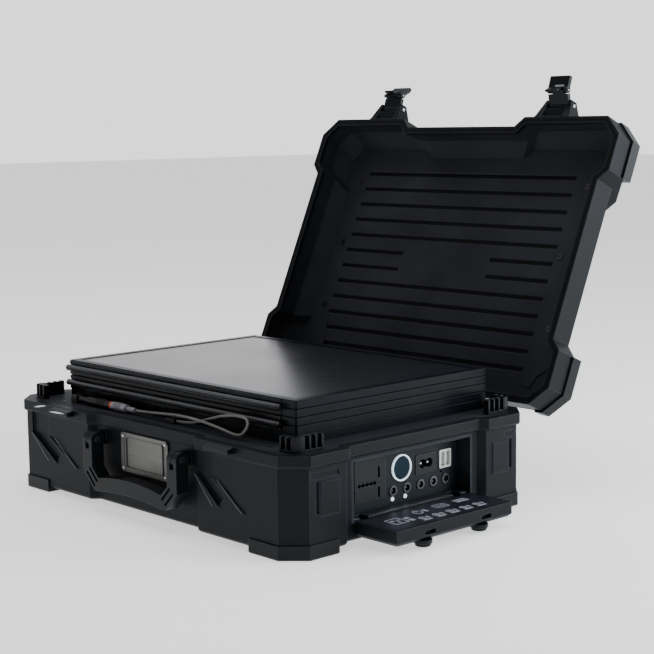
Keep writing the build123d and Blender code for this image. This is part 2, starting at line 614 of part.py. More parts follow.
def build_lid():
    shell = lid_form(0, LID_Z) - lid_form(WALL, LID_Z)
    lip = prism(lid_outline(0), LID_Z, LID_Z + LID_LIP_H)
    shell += lip - prism(lid_outline(-LID_LIP), LID_Z, LID_Z + LID_LIP_H)
    seal_out, seal_w, seal_deep = 2.0, 3.0, 2.0
    groove = prism(lid_outline(-seal_out), LID_Z, LID_Z + seal_deep)
    groove -= prism(lid_outline(-seal_out - seal_w), LID_Z, LID_Z + seal_deep)
    shell -= groove
    seal = prism(lid_outline(-seal_out), LID_Z - 0.15, LID_Z + seal_deep)
    seal -= prism(lid_outline(-seal_out - seal_w), LID_Z - 0.15, LID_Z + seal_deep)
    add("lid_seal", seal, opened_lid)

    liner_z = LID_TOP - WALL - LINER_T
    liner = lid_form(WALL, LID_Z + LID_LIP_H) - lid_form(WALL + LINER_T, LID_Z + LID_LIP_H)
    groove_x, groove_w, groove_low_w, groove_deep, pitch, first_y = (-150.0, 136.5), 5.2, 2.0, 1.5, 17.85, -93.4
    blank = block(-64, 57, -10, 20, liner_z - 1, liner_z + 3)
    for i in range(12):
        y = first_y + pitch * i
        wide, narrow = groove_w / 2, groove_low_w / 2
        low_z, deep_z = liner_z, liner_z + groove_deep
        groove = profile_x([(y - wide, low_z), (y + wide, low_z), (y + narrow, deep_z), (y - narrow, deep_z)], *groove_x)
        liner -= groove - blank
    pad = [(147, 71), (170, 79), (172, 94), (155, 108), (150, 120), (140, 118)]
    liner += prism(pad, liner_z - 0.8, liner_z) + mirror(prism(pad, liner_z - 0.8, liner_z), Plane.YZ)
    screws = []
    for xs in ((-159, -159, -159), (153, 143, 153)):
        for x, y in zip(xs, (-84.4, -12.5, 60)):
            head = rod_z(liner_z - 0.6, liner_z + 1.2, x, y, 3.2)
            shank = rod_z(liner_z + 1.2, liner_z + 5, x, y, 1.5)
            screws.append(head + shank - block(x - 2.4, x + 2.4, y - 0.5, y + 0.5, liner_z - 1, liner_z + 0.2))
            liner -= rod_z(liner_z, liner_z + 1.2, x, y, 3.2 + FIT)
            hole = rod_z(liner_z, liner_z + 5, x, y, 1.5 + FIT)
            liner -= hole
            shell -= hole
    add("lid_liner", liner, opened_lid)
    add("liner_screws", screws, opened_lid)

    guard_z, guard_top, guard_out = 106.0, 118.0, 2.0
    guard = prism(lid_outline(guard_out), guard_z, guard_top)
    guard &= block(176, 300, SIDE_RECESS + LID_RECESS, 300, guard_z, guard_top)
    guard -= lid_form(0, LID_Z)
    front_guard = mirror(guard, Plane.XZ)
    front_guard -= lid_form(0, LID_Z)
    add("lid_corner_guards", both_sides(guard) + both_sides(front_guard), opened_lid)
    # a groove under each guard
    band = prism(lid_outline(0), guard_z - 2, guard_z) - prism(lid_outline(-1.2), guard_z - 2, guard_z)
    corner = block(176, 300, SIDE_RECESS + LID_RECESS, 300, guard_z - 2, guard_z)
    for piece in four_corners(band & corner):
        shell -= piece
    add("lid_shell", shell, opened_lid)


def latch_angle(shape, side, swing):
    """A latch piece turned outwards about its pivot, then moved with the open lid."""
    return opened_lid(Pos(LATCH_X[side], 0, 0) * turned(shape, -swing, LATCH_Y, LATCH_Z))


def build_latches():
    front, ear_tip = -LID_Y, LATCH_Y - 5
    ear = [(front, LID_Z + 1.5), (ear_tip, LATCH_Z - 4), (ear_tip, LATCH_Z + 4), (front, LID_SIDE_Z - 3)]
    plan = [(EAR_IN, front), (EAR_BASE, front), (EAR_TIP, ear_tip), (EAR_IN, ear_tip)]
    fin = profile_x(ear, EAR_IN, EAR_BASE) & prism(plan, LID_Z, LID_SIDE_Z)
    barrel_r, link_r, lever_barrel_r = 3.6, 1.6, 3.2
    bracket = block(-EAR_BASE, EAR_BASE, front - 1.6, front, LID_Z + 1.5, LID_SIDE_Z)
    bracket += block(-EAR_IN, EAR_IN, LATCH_Y + barrel_r + 0.8, front, LATCH_Z - 6, LATCH_Z + 7)
    bracket += both_sides(fin)[0] + both_sides(fin)[1]
    bracket -= rod_x(-EAR_BASE, EAR_BASE, LATCH_Y, LATCH_Z, LATCH_PIN_R + FIT)
    pin = rod_x(-EAR_TIP - 1.8, EAR_TIP + 1.8, LATCH_Y, LATCH_Z, LATCH_PIN_R)
    flange = -BODY_Y - FLANGE_OUT
    striker = [(flange, 78.4), (flange - 7, 79), (flange - 7, 82.5), (flange, RIM_Z - 0.2)]
    add("latch_brackets", [Pos(x, 0, 0) * bracket for x in LATCH_X], opened_lid)
    add("latch_pins", [Pos(x, 0, 0) * pin for x in LATCH_X], opened_lid)
    add("latch_strikers", [profile_x(striker, x - 15, x + 15) for x in LATCH_X])

    link_z = LATCH_Z - CLAW_LEN
    plate_t, hook_half, cheek_in = 4.0, 6.5, 7.0
    y0, y1 = LATCH_Y - plate_t / 2, LATCH_Y + plate_t / 2
    hook_low = link_z - 3.6
    for side, name in enumerate(LATCH_NAMES):
        claw = rod_x(0.4 - EAR_IN, EAR_IN - 0.4, LATCH_Y, LATCH_Z, barrel_r)
        claw += block(-CLAW_HALF, CLAW_HALF, y0, y1, link_z + lever_barrel_r + 0.6, LATCH_Z)
        claw += block(-hook_half, hook_half, y0, y1, hook_low, LATCH_Z)
        hook = [(y1, link_z - 0.2), (LATCH_Y + 10.5, link_z - 0.6), (LATCH_Y + 10.5, link_z - 2.8), (y1, hook_low)]
        claw += profile_x(hook, -hook_half, hook_half)
        claw -= rod_x(-30, 30, LATCH_Y, LATCH_Z, LATCH_PIN_R + FIT)
        claw += rod_x(-CLAW_HALF - 3.5, CLAW_HALF + 0.5, LATCH_Y, link_z, link_r)
        swing = CLAW_OPEN[side]
        add(f"latch_{name}_claw", latch_angle(claw, side, swing))

        tip, room = link_z - LEVER_LEN, 1.3
        lever = block(-CLAW_HALF, CLAW_HALF, y0, y1, tip, link_z)
        lever += rod_x(-CLAW_HALF, CLAW_HALF, LATCH_Y, link_z, lever_barrel_r)
        lever -= block(-cheek_in, cheek_in, y0 - 5, y1 + 5, hook_low - room, link_z + 5)
        lever -= rod_x(-30, 30, LATCH_Y, link_z, link_r + FIT)
        lever += profile_x([(y0, tip), (y1, tip), (y1, tip + 3), (y0, tip + 3), (y0 - 2.4, tip + 1.6)], -9, 9)
        lever = turned(lever, -LEVER_OPEN[side], LATCH_Y, link_z)
        add(f"latch_{name}_lever", latch_angle(lever, side, swing))


# ---- solar panels ---------------------------------------------------------------------------------------------


def panel(letter, z0, z1):
    """One solar panel: a frame with a laminate in its groove."""
    frame = block(-PANEL_X, PANEL_X, PANEL_FRONT, PANEL_REAR, z0, z1)
    frame = chamfer(frame.edges().filter_by(Axis.Z), 1.5)
    frame = chamfer(frame.faces().sort_by(Axis.Z)[-1].edges(), 0.5)
    sheet_z = (z0 + SHEET_DOWN, z1 - SHEET_UP)
    frame -= inner_block(PANEL_BORDER, *sheet_z)
    frame -= inner_block(PANEL_BORDER + PANEL_LIP, z0, z1)
    add(f"panel_{letter}_frame", frame)
    add(f"panel_{letter}_laminate", inner_block(PANEL_BORDER, *sheet_z))


def inner_block(border, z0, z1):
    """The space inside a border of the panels' outline."""
    return block(border - PANEL_X, PANEL_X - border, PANEL_FRONT + border, PANEL_REAR - border, z0, z1)


def panel_hinge(axis_y, axis_z):
    """A piano hinge along the panels' edge: its lower leaf, its upper leaf and the pin."""
    away = 1 if axis_y > 0 else -1
    edge = axis_y - away * BARREL_OUT
    x0, x1 = BARREL_X
    step = (x1 - x0) / BARREL_PIECES
    leaves = []
    for up, first in ((-1, 0), (1, 1)):
        strip_z = sorted((axis_z + up * LEAF_IN, axis_z + up * LEAF_OUT))
        leaf = block(x0, x1, *sorted((edge, edge + away * LEAF_T)), *strip_z)
        for i in range(first, BARREL_PIECES, 2):
            a = x0 + i * step + BARREL_GAP / 2
            b = a + step - BARREL_GAP
            link_z = sorted((axis_z + up * 1.0, axis_z + up * (LEAF_IN + 0.5)))
            leaf += block(a, b, *sorted((edge + away * 0.3, edge + away * 1.5)), *link_z)
            leaf += rod_x(a, b, axis_y, axis_z, BARREL_R)
        leaves.append(leaf - rod_x(x0 - 1, x1 + 1, axis_y, axis_z, PANEL_PIN_R + FIT))
    pin = rod_x(x0, x1 + 0.3, axis_y, axis_z, PANEL_PIN_R)
    return *leaves, pin + rod_x(x1 + 0.3, x1 + 3, axis_y, axis_z, BARREL_R - 0.2)


def build_panels():
    tray = block(-PANEL_X, PANEL_X, PANEL_FRONT, PANEL_REAR, RIM_Z, TRAY_TOP)
    tray = chamfer(tray.edges().filter_by(Axis.Z), 1.5)
    tray = chamfer(tray.faces().sort_by(Axis.Z)[-1].edges(), 0.4)
    tray -= inner_block(4.0, RIM_Z + 1.6, TRAY_TOP)
    add("panel_tray", tray)
    for i, letter in enumerate("abcd"):
        top = STACK_TOP - i * PITCH - (LAYER_GAP / 2 if i else 0)
        bottom = TRAY_TOP if letter == "d" else STACK_TOP - (i + 1) * PITCH + LAYER_GAP / 2
        panel(letter, bottom, top)
    ab_lower, ab_upper, ab_pin = panel_hinge(FRONT_AXIS_Y, AXIS_AB)
    bc_lower, bc_upper, bc_pin = panel_hinge(REAR_AXIS_Y, AXIS_BC)
    cd_lower, cd_upper, cd_pin = panel_hinge(FRONT_AXIS_Y, AXIS_CD)
    add("panel_a_hinge_leaf", ab_upper)
    add("panel_b_hinge_leaves", [ab_lower, bc_upper])
    add("panel_c_hinge_leaves", [bc_lower, cd_upper])
    add("panel_d_hinge_leaf", cd_lower)
    add("panel_ab_hinge_pin", ab_pin)
    add("panel_bc_hinge_pin", bc_pin)
    add("panel_cd_hinge_pin", cd_pin)


# ---- lead on the front deck -----------------------------------------------------------------------------------


def corner_radii(points):
    """The radius of the arc at each corner of a route, as large as the two runs beside it allow."""
    radii = []
    for a, b, c in zip(points, points[1:], points[2:]):
        before = Vector(b) - Vector(a)
        after = Vector(c) - Vector(b)
        half_turn = math.radians(before.get_angle(after)) / 2
        radii.append(0.45 * min(before.length, after.length) / math.tan(half_turn))
    return radii


def build_lead():
    radii = corner_radii(LEAD_ROUTE)
    path = FilletPolyline(*LEAD_ROUTE, radius=radii)
    direction = Vector(LEAD_ROUTE[1]) - Vector(LEAD_ROUTE[0])
    section = Plane(origin=LEAD_ROUTE[0], z_dir=direction) * Circle(LEAD_D / 2)
    lead = sweep(section, path=path)
    expected = path.length * math.pi * LEAD_D**2 / 4
    print("lead length", round(path.length, 1), "volume share", round(lead.volume / expected, 4))
    print("lead radii", [round(r, 1) for r in radii], "runs", lead_runs())
    add("array_lead", lead)

    y, z = PLUG_Y, PLUG_Z
    start = LEAD_ROUTE[0][0]
    plug = rod_x(start - 12, start, y, z, 2.3) + rod_x(start - 34, start - 12, y, z, PLUG_R)
    add("lead_plug", plug)
    add("plug_seal_ring", rod_x(start - 37, start - 34, y, z, PLUG_R - 0.3))
    socket = rod_x(start - 72, start - 37, y, z, PLUG_R)
    socket += rod_x(start - 88, start - 72, y, z, 2.6)
    add("lead_socket", socket)
    end = Vector(LEAD_ROUTE[-1])
    grommet = block(end.X - 12, end.X, end.Y - 3.5, end.Y + 3.5, RIM_Z, end.Z + 2.6)
    gland_x = start - 88
    gland = block(gland_x - 8, gland_x, y - 4, y + 4, RIM_Z, z + 3.6)
    add("deck_glands", [chamfer(g.faces().sort_by(Axis.Z)[-1].edges(), 1.0) for g in (grommet, gland)])


def lead_runs():
    """Lengths of the route's runs."""
    return [round((Vector(b) - Vector(a)).length, 1) for a, b in zip(LEAD_ROUTE, LEAD_ROUTE[1:])]


# ---- whole object ---------------------------------------------------------------------------------------------


build_base_shell()
build_feet_and_deck()
build_power_parts()
build_lid_hinges()
build_port_bay()
build_ports()
build_door()
build_handle()
build_lid()
build_latches()
build_panels()
build_lead()

box = Compound(children=[Compound(part.wrapped) for part in parts.values()]).bounding_box()
SHIFT_X = -(box.min.X + box.max.X) / 2
SHIFT_Y = -(box.min.Y + box.max.Y) / 2
print("nodes", len(parts), "shift", round(SHIFT_X, 3), round(SHIFT_Y, 3), "lowest", round(box.min.Z, 4))

os.makedirs("parts", exist_ok=True)
for name, part in parts.items():
    export_step(Pos(SHIFT_X, SHIFT_Y, 0) * part, f"parts/{name}.step")
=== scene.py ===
"""Looks of the solar suitcase kit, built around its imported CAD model, in metres and in its frame."""

import json
import math

import bmesh
import bpy
from mathutils import Matrix, Vector


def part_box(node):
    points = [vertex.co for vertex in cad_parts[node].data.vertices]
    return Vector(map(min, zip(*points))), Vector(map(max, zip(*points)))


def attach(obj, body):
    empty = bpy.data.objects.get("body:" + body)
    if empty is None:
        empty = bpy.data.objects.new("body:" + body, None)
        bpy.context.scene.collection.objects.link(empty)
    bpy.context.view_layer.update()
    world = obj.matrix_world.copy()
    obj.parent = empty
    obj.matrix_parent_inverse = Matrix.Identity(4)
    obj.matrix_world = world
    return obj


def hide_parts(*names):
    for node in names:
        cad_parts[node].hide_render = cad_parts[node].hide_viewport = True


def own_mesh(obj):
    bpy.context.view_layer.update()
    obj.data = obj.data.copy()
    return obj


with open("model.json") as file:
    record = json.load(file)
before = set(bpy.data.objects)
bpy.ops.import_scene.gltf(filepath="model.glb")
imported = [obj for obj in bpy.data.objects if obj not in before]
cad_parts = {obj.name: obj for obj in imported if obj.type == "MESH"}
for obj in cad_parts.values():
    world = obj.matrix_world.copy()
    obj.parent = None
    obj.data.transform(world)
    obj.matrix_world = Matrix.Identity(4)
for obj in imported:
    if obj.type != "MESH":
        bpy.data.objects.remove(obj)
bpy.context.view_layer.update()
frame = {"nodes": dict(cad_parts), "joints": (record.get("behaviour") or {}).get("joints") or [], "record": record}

MM = 0.001
NODES = frame["nodes"]
JOINTS = {joint["name"]: joint for joint in frame["joints"]}

# The middle of the case's four feet, on the floor: the origin of every place on the case given in mm.
FEET_LOW, FEET_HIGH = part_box("corner_feet")
CASE = Vector(((FEET_LOW.x + FEET_HIGH.x) / 2, (FEET_LOW.y + FEET_HIGH.y) / 2, FEET_LOW.z))


def at(x, y, z):
    """A point of the case, given in mm from the middle of its feet."""
    return CASE + Vector((x, y, z)) * MM


# ---- camera --------------------------------------------------------------------------------------

CAMERA_AT = at(1067, -909, 340)
# In degrees: to the left of +Y, below level, and sideways.
CAMERA_TURN, CAMERA_DOWN, CAMERA_ROLL = 47.16, 7.53, -0.71
LENS, SENSOR = 84.4, 36.0


def make_camera():
    data = bpy.data.cameras.new("camera")
    data.lens = LENS
    data.sensor_width = SENSOR
    camera = bpy.data.objects.new("camera", data)
    bpy.context.scene.collection.objects.link(camera)
    turn = Matrix.Rotation(math.radians(CAMERA_TURN), 4, "Z")
    tilt = Matrix.Rotation(math.radians(90 - CAMERA_DOWN), 4, "X")
    roll = Matrix.Rotation(math.radians(CAMERA_ROLL), 4, "Z")
    camera.matrix_world = Matrix.Translation(CAMERA_AT) @ turn @ tilt @ roll
    bpy.context.scene.camera = camera


# ---- node helpers for materials ------------------------------------------------------------------


class Graph:
    """A material's node tree with short calls for the nodes used here."""

    def __init__(self, name):
        self.material = bpy.data.materials.new(name)
        self.material.use_nodes = True
        self.tree = self.material.node_tree
        self.shader = self.tree.nodes["Principled BSDF"]
        self.place = self.node("ShaderNodeTexCoord").outputs["Object"]

    def node(self, kind, inputs=None, **settings):
        made = self.tree.nodes.new(kind)
        for key, value in settings.items():
            setattr(made, key, value)
        for key, value in (inputs or {}).items():
            self.put(made.inputs[key], value)
        return made

    def put(self, socket, value):
        """Sets a socket to a number or colour, or links another node's output to it."""
        if isinstance(value, bpy.types.NodeSocket):
            self.tree.links.new(value, socket)
        else:
            socket.default_value = value

    def set(self, **inputs):
        for key, value in inputs.items():
            self.put(self.shader.inputs[key.replace("_", " ")], value)

    def stretched(self, scale):
        """The object's coordinates, scaled differently along the three axes."""
        return self.node("ShaderNodeMapping", {"Vector": self.place, "Scale": scale}).outputs[0]

    def noise(self, scale, detail=3.0, rough=0.55, vector=None):
        inputs = {"Vector": vector or self.place, "Scale": scale, "Detail": detail, "Roughness": rough}
        return self.node("ShaderNodeTexNoise", inputs).outputs["Fac"]

    def ramp(self, fac, low, high, at_low=0.0, at_high=1.0):
        """fac mapped from low..high to at_low..at_high, clamped."""
        inputs = {"Value": fac, "From Min": low, "From Max": high, "To Min": at_low, "To Max": at_high}
        return self.node("ShaderNodeMapRange", inputs).outputs[0]

    def mix(self, fac, a, b):
        made = self.node("ShaderNodeMix", data_type="RGBA")
        for socket, value in zip((made.inputs[0], made.inputs[6], made.inputs[7]), (fac, a, b)):
            self.put(socket, value)
        return made.outputs[2]

    def add(self, a, b):
        return self.node("ShaderNodeMath", {0: a, 1: b}, operation="ADD").outputs[0]

    def times(self, a, b):
        return self.node("ShaderNodeMath", {0: a, 1: b}, operation="MULTIPLY").outputs[0]

    def bump(self, height, strength, distance, normal=None):
        inputs = {"Height": height, "Strength": strength, "Distance": distance}
        if normal:
            inputs["Normal"] = normal
        return self.node("ShaderNodeBump", inputs).outputs[0]

    def soft_edges(self, radius):
        """A normal that rounds sharp moulded edges by radius, in metres."""
        return self.node("ShaderNodeBevel", {"Radius": radius}, samples=4).outputs[0]

    def edge_mask(self, soft_normal):
        """1 along edges, where the rounded normal leaves the flat one, and 0 on faces."""
        flat = self.node("ShaderNodeNewGeometry").outputs["True Normal"]
        normals = {0: soft_normal, 1: flat}
        agree = self.node("ShaderNodeVectorMath", normals, operation="DOT_PRODUCT").outputs["Value"]
        return self.ramp(agree, 0.90, 0.99, 1.0, 0.0)


def colour(r, g, b):
    return (r, g, b, 1.0)


def shade(c, k):
    """The colour c made lighter or darker by the factor k."""
    return colour(*(min(1.0, v * k) for v in c[:3]))


# ---- materials -----------------------------------------------------------------------------------


def moulded_plastic(name, base, rough, grain=0.25, edge=1.0 * MM, wear=0.5, specular=0.5, rubbed=9.0):
    """Moulded plastic: fine spark texture, uneven sheen, faint scuffs, rounded edges painted paler as partly worn
    plastic and partly a painted highlight, and painted shade in recesses.
    """
    g = Graph(name)
    cloud = g.noise(14.0, 4.0)
    fine = g.noise(1500.0, 2.0)
    scuffs = g.noise(60.0, 5.0, 0.7, g.stretched((1.0, 4.0, 9.0)))
    scuff = g.ramp(scuffs, 0.66, 0.78, 0.0, wear)
    soft = g.soft_edges(edge)
    recess_shade = g.node("ShaderNodeAmbientOcclusion", {"Distance": 4.0 * MM}, samples=4).outputs["AO"]
    body = g.mix(g.ramp(cloud, 0.35, 0.7), shade(base, 0.8), shade(base, 1.25))
    # Painted shade: where ambient occlusion finds a recess within 4 mm, the colour darkens towards 0.12 of the
    # base.
    body = g.mix(g.ramp(recess_shade, 0.35, 0.95, 0.75, 0.0), body, shade(base, 0.12))
    # Edges, convex and concave alike, painted paler by a factor: partly wear, varied by the scuff noise, and
    # partly a painted highlight along every edge.
    body = g.mix(g.times(g.edge_mask(soft), g.ramp(scuffs, 0.3, 0.6, 0.5, 1.0)), body, shade(base, rubbed))
    g.set(Base_Color=g.mix(scuff, body, shade(base, 2.6)))
    g.set(Roughness=g.add(g.ramp(cloud, 0.3, 0.75, rough - 0.05, rough + 0.05), g.times(scuff, 0.12)))
    g.set(Normal=g.bump(fine, grain, 0.05 * MM, soft))
    g.shader.inputs["Specular IOR Level"].default_value = specular
    return g.material


def brushed_metal(name, base, rough, along=(1.0, 40.0, 40.0), edge=0.3 * MM):
    """Brushed metal: fine streaks along one direction, a little tarnish."""
    g = Graph(name)
    streaks = g.noise(30.0, 6.0, 0.7, g.stretched(along))
    tarnish = g.noise(45.0, 4.0)
    tone = g.mix(g.ramp(streaks, 0.3, 0.7), shade(base, 0.72), shade(base, 1.2))
    g.set(Base_Color=g.mix(g.ramp(tarnish, 0.55, 0.8, 0.0, 0.4), tone, shade(base, 0.5)))
    g.set(Metallic=1.0, Roughness=g.ramp(streaks, 0.25, 0.75, rough - 0.08, rough + 0.1))
    g.set(Normal=g.bump(streaks, 0.12, 0.05 * MM, g.soft_edges(edge)))
    return g.material


def hinge_metal(name):
    """Satin steel barrels and pins, near black wherever a face points front or back: on the flat leaves, and as a
    painted shade along the front and back of the round barrels.
    """
    g = Graph(name)
    streaks = g.noise(30.0, 6.0, 0.7, g.stretched((1.0, 40.0, 40.0)))
    normal = g.node("ShaderNodeTexCoord").outputs["Normal"]
    facing = g.node("ShaderNodeSeparateXYZ", {"Vector": normal}).outputs[1]
    painted = g.ramp(g.node("ShaderNodeMath", {0: facing}, operation="ABSOLUTE").outputs[0], 0.93, 0.98)
    steel = colour(0.17, 0.175, 0.185)
    bare = g.mix(g.ramp(streaks, 0.3, 0.7), shade(steel, 0.75), shade(steel, 1.2))
    # Near black where a face points front or back: the flat leaves, and a painted shade on the barrels' front and
    # back strips.
    g.set(Base_Color=g.mix(painted, bare, colour(0.0045, 0.005, 0.006)))
    g.set(Metallic=g.ramp(painted, 0.0, 1.0, 1.0, 0.3), Roughness=g.ramp(streaks, 0.25, 0.75, 0.2, 0.34))
    g.set(Normal=g.bump(streaks, 0.1, 0.05 * MM, g.soft_edges(0.3 * MM)))
    g.shader.inputs["Specular IOR Level"].default_value = 0.08
    return g.material


def anodised_frame(name):
    """Black anodised extrusion: satin, with fine drawn lines and rubbed edges."""
    g = Graph(name)
    lines = g.noise(50.0, 5.0, 0.7, g.stretched((1.0, 1.0, 30.0)))
    cloud = g.noise(9.0)
    base = colour(0.0048, 0.0064, 0.0086)
    g.set(Base_Color=g.mix(g.ramp(lines, 0.35, 0.7), shade(base, 0.7), shade(base, 1.7)))
    g.set(Roughness=g.ramp(cloud, 0.3, 0.7, 0.26, 0.34))
    g.set(Normal=g.bump(lines, 0.08, 0.05 * MM, g.soft_edges(0.6 * MM)))
    g.shader.inputs["Specular IOR Level"].default_value = 0.08
    return g.material


def back_sheet(name):
    """The panels' dark satin back sheet: a soft sheen with slight waviness, dust and faint marks."""
    g = Graph(name)
    waves = g.noise(6.0, 2.0)
    dust = g.noise(700.0, 3.0, 0.7)
    marks = g.noise(40.0, 5.0, 0.75, g.stretched((1.0, 7.0, 1.0)))
    mark = g.ramp(marks, 0.68, 0.8, 0.0, 0.25)
    base = colour(0.009, 0.010, 0.015)
    speck = g.ramp(dust, 0.72, 0.8, 0.0, 0.3)
    g.set(Base_Color=g.mix(speck, g.mix(mark, base, shade(base, 2.0)), colour(0.10, 0.10, 0.11)))
    g.set(Roughness=g.add(g.ramp(waves, 0.3, 0.7, 0.25, 0.31), g.times(mark, 0.2)))
    g.set(Normal=g.bump(waves, 0.22, 0.6 * MM, g.bump(dust, 0.08, 0.03 * MM)))
    g.set(Coat_Weight=0.2, Coat_Roughness=0.2)
    return g.material


def solar_cells(name):
    """Dark blue-black silicon cells with fine silver fingers and busbars."""
    g = Graph(name)
    split = g.node("ShaderNodeSeparateXYZ", {"Vector": g.place})
    fingers = g.node("ShaderNodeMath", {0: split.outputs[1], 1: 2.0 * MM}, operation="PINGPONG").outputs[0]
    finger = g.ramp(fingers, 0.0, 0.14 * MM, 1.0, 0.0)
    crystal = g.noise(120.0, 2.0)
    silicon = g.mix(g.ramp(crystal, 0.35, 0.7), colour(0.004, 0.006, 0.018), colour(0.008, 0.012, 0.035))
    g.set(Base_Color=g.mix(finger, silicon, colour(0.18, 0.19, 0.21)))
    g.set(Roughness=g.ramp(crystal, 0.3, 0.7, 0.16, 0.24), Coat_Weight=0.5, Coat_Roughness=0.08)
    return g.material


def glossy_plastic(name, base, rough):
    """Smooth moulded plastic with a slight unevenness."""
    g = Graph(name)
    cloud = g.noise(90.0, 3.0)
    g.set(Base_Color=g.mix(g.ramp(cloud, 0.35, 0.7), shade(base, 0.9), shade(base, 1.08)))
    g.set(Roughness=g.ramp(cloud, 0.3, 0.7, rough - 0.03, rough + 0.06))
    g.set(Normal=g.bump(cloud, 0.06, 0.1 * MM, g.soft_edges(0.3 * MM)))
    return g.material


def glowing(name, base, strength):
    """A lit light guide, a little uneven round its length."""
    g = Graph(name)
    cloud = g.noise(160.0, 2.0)
    g.set(Base_Color=base, Roughness=g.ramp(cloud, 0.3, 0.7, 0.25, 0.4))
    g.set(Emission_Color=g.mix(g.ramp(cloud, 0.35, 0.65), shade(base, 0.86), base))
    g.set(Emission_Strength=strength)
    return g.material


def rubber(name, base, rough=0.6):
    """Matt rubber with a fine grain and a dusty bloom."""
    g = Graph(name)
    cloud = g.noise(60.0, 4.0)
    fine = g.noise(1800.0, 2.0)
    g.set(Base_Color=g.mix(g.ramp(cloud, 0.4, 0.75), base, shade(base, 1.6)))
    g.set(Roughness=g.ramp(cloud, 0.3, 0.7, rough - 0.06, rough + 0.08))
    g.set(Normal=g.bump(fine, 0.2, 0.04 * MM, g.soft_edges(0.3 * MM)))
    g.shader.inputs["Specular IOR Level"].default_value = 0.1
    return g.material


def printed_label(name):
    """A dark printed overlay with a satin face."""
    g = Graph(name)
    cloud = g.noise(35.0, 3.0)
    fine = g.noise(900.0, 2.0)
    base = colour(0.012, 0.013, 0.021)
    g.set(Base_Color=g.mix(g.ramp(cloud, 0.35, 0.7), shade(base, 0.8), shade(base, 1.3)))
    g.set(Roughness=g.ramp(cloud, 0.3, 0.7, 0.34, 0.44), Normal=g.bump(fine, 0.12, 0.03 * MM))
    g.shader.inputs["Specular IOR Level"].default_value = 0.2
    return g.material


def dotted_cap(name):
    """A translucent blue-black cap over a fine dot matrix."""
    g = Graph(name)
    inputs = {"Vector": g.place, "Scale": 900.0, "Randomness": 0.15}
    dots = g.node("ShaderNodeTexVoronoi", inputs).outputs[0]
    dot = g.ramp(dots, 0.25, 0.5, 1.0, 0.0)
    g.set(Base_Color=g.mix(dot, colour(0.005, 0.014, 0.024), colour(0.014, 0.040, 0.062)))
    g.set(Roughness=g.ramp(dots, 0.2, 0.6, 0.4, 0.55))
    g.set(Emission_Color=g.mix(dot, colour(0.0, 0.0, 0.0), colour(0.05, 0.16, 0.26)))
    g.set(Emission_Strength=0.06)
    g.shader.inputs["Specular IOR Level"].default_value = 0.08
    return g.material


def circuit_board(name):
    """Green solder mask with darker tracks."""
    g = Graph(name)
    inputs = {"Vector": g.place, "Scale": 180.0}
    tracks = g.node("ShaderNodeTexVoronoi", inputs, distance="MANHATTAN").outputs[0]
    g.set(Base_Color=g.mix(g.ramp(tracks, 0.2, 0.5), colour(0.005, 0.06, 0.02), colour(0.01, 0.13, 0.05)))
    g.set(Roughness=g.ramp(tracks, 0.2, 0.6, 0.3, 0.5))
    return g.material


def floor_surface(name):
    """A plain pale studio floor that is lit a little from below, as a light table is."""
    g = Graph(name)
    cloud = g.noise(3.0, 3.0)
    pale = g.mix(cloud, colour(0.90, 0.90, 0.90), colour(0.93, 0.93, 0.93))
    g.set(Base_Color=pale, Roughness=0.8, Emission_Color=pale, Emission_Strength=0.95)
    g.shader.inputs["Specular IOR Level"].default_value = 0.1
    return g.material


# The slots' materials. A maker's numbers are its base colour and roughness, then what it names itself.
MAKERS = {
    "shell_plastic": lambda n: moulded_plastic(n, colour(0.0060, 0.0072, 0.0092), 0.45, specular=0.11),
    "guard_plastic": lambda n: moulded_plastic(n, colour(0.0058, 0.0068, 0.0084), 0.34, 0.2, specular=0.14),
    "liner_plastic": lambda n: moulded_plastic(
        n, colour(0.024, 0.026, 0.032), 0.58, 0.18, 0.8 * MM, 0.2, 0.08, 2.2
    ),
    "seal_rubber": lambda n: rubber(n, colour(0.004, 0.004, 0.0045), 0.7),
    "frame_metal": anodised_frame,
    "laminate": back_sheet,
    "hinge_steel": hinge_metal,
    "screw_steel": lambda n: brushed_metal(n, colour(0.09, 0.09, 0.10), 0.36),
    "plate_metal": lambda n: brushed_metal(n, colour(0.145, 0.143, 0.136), 0.42),
    "faceplate": lambda n: moulded_plastic(
        n, colour(0.0165, 0.0205, 0.0245), 0.48, 0.2, 0.4 * MM, 0.3, 0.12
    ),
    "socket_plastic": lambda n: moulded_plastic(
        n, colour(0.023, 0.025, 0.027), 0.42, 0.15, 0.4 * MM, 0.2, 0.12
    ),
    "white_plastic": lambda n: glossy_plastic(n, colour(0.80, 0.80, 0.77), 0.3),
    "light": lambda n: glowing(n, colour(0.80, 0.93, 1.0), 0.95),
    "button_cap": dotted_cap,
    "jack_metal": lambda n: brushed_metal(n, colour(0.10, 0.10, 0.11), 0.3),
    "label_sheet": printed_label,
    "battery_wrap": lambda n: glossy_plastic(n, colour(0.02, 0.06, 0.16), 0.35),
    "board": circuit_board,
    "connector_plastic": lambda n: moulded_plastic(
        n, colour(0.008, 0.0085, 0.009), 0.4, 0.2, 0.4 * MM, 0.5, 0.3
    ),
    "plug_plastic": lambda n: moulded_plastic(n, colour(0.25, 0.25, 0.29), 0.42, 0.2, 0.4 * MM, rubbed=1.4),
    "seal_orange": lambda n: rubber(n, colour(0.62, 0.10, 0.04), 0.5),
    "lead_jacket": lambda n: rubber(n, colour(0.14, 0.137, 0.132), 0.4),
}
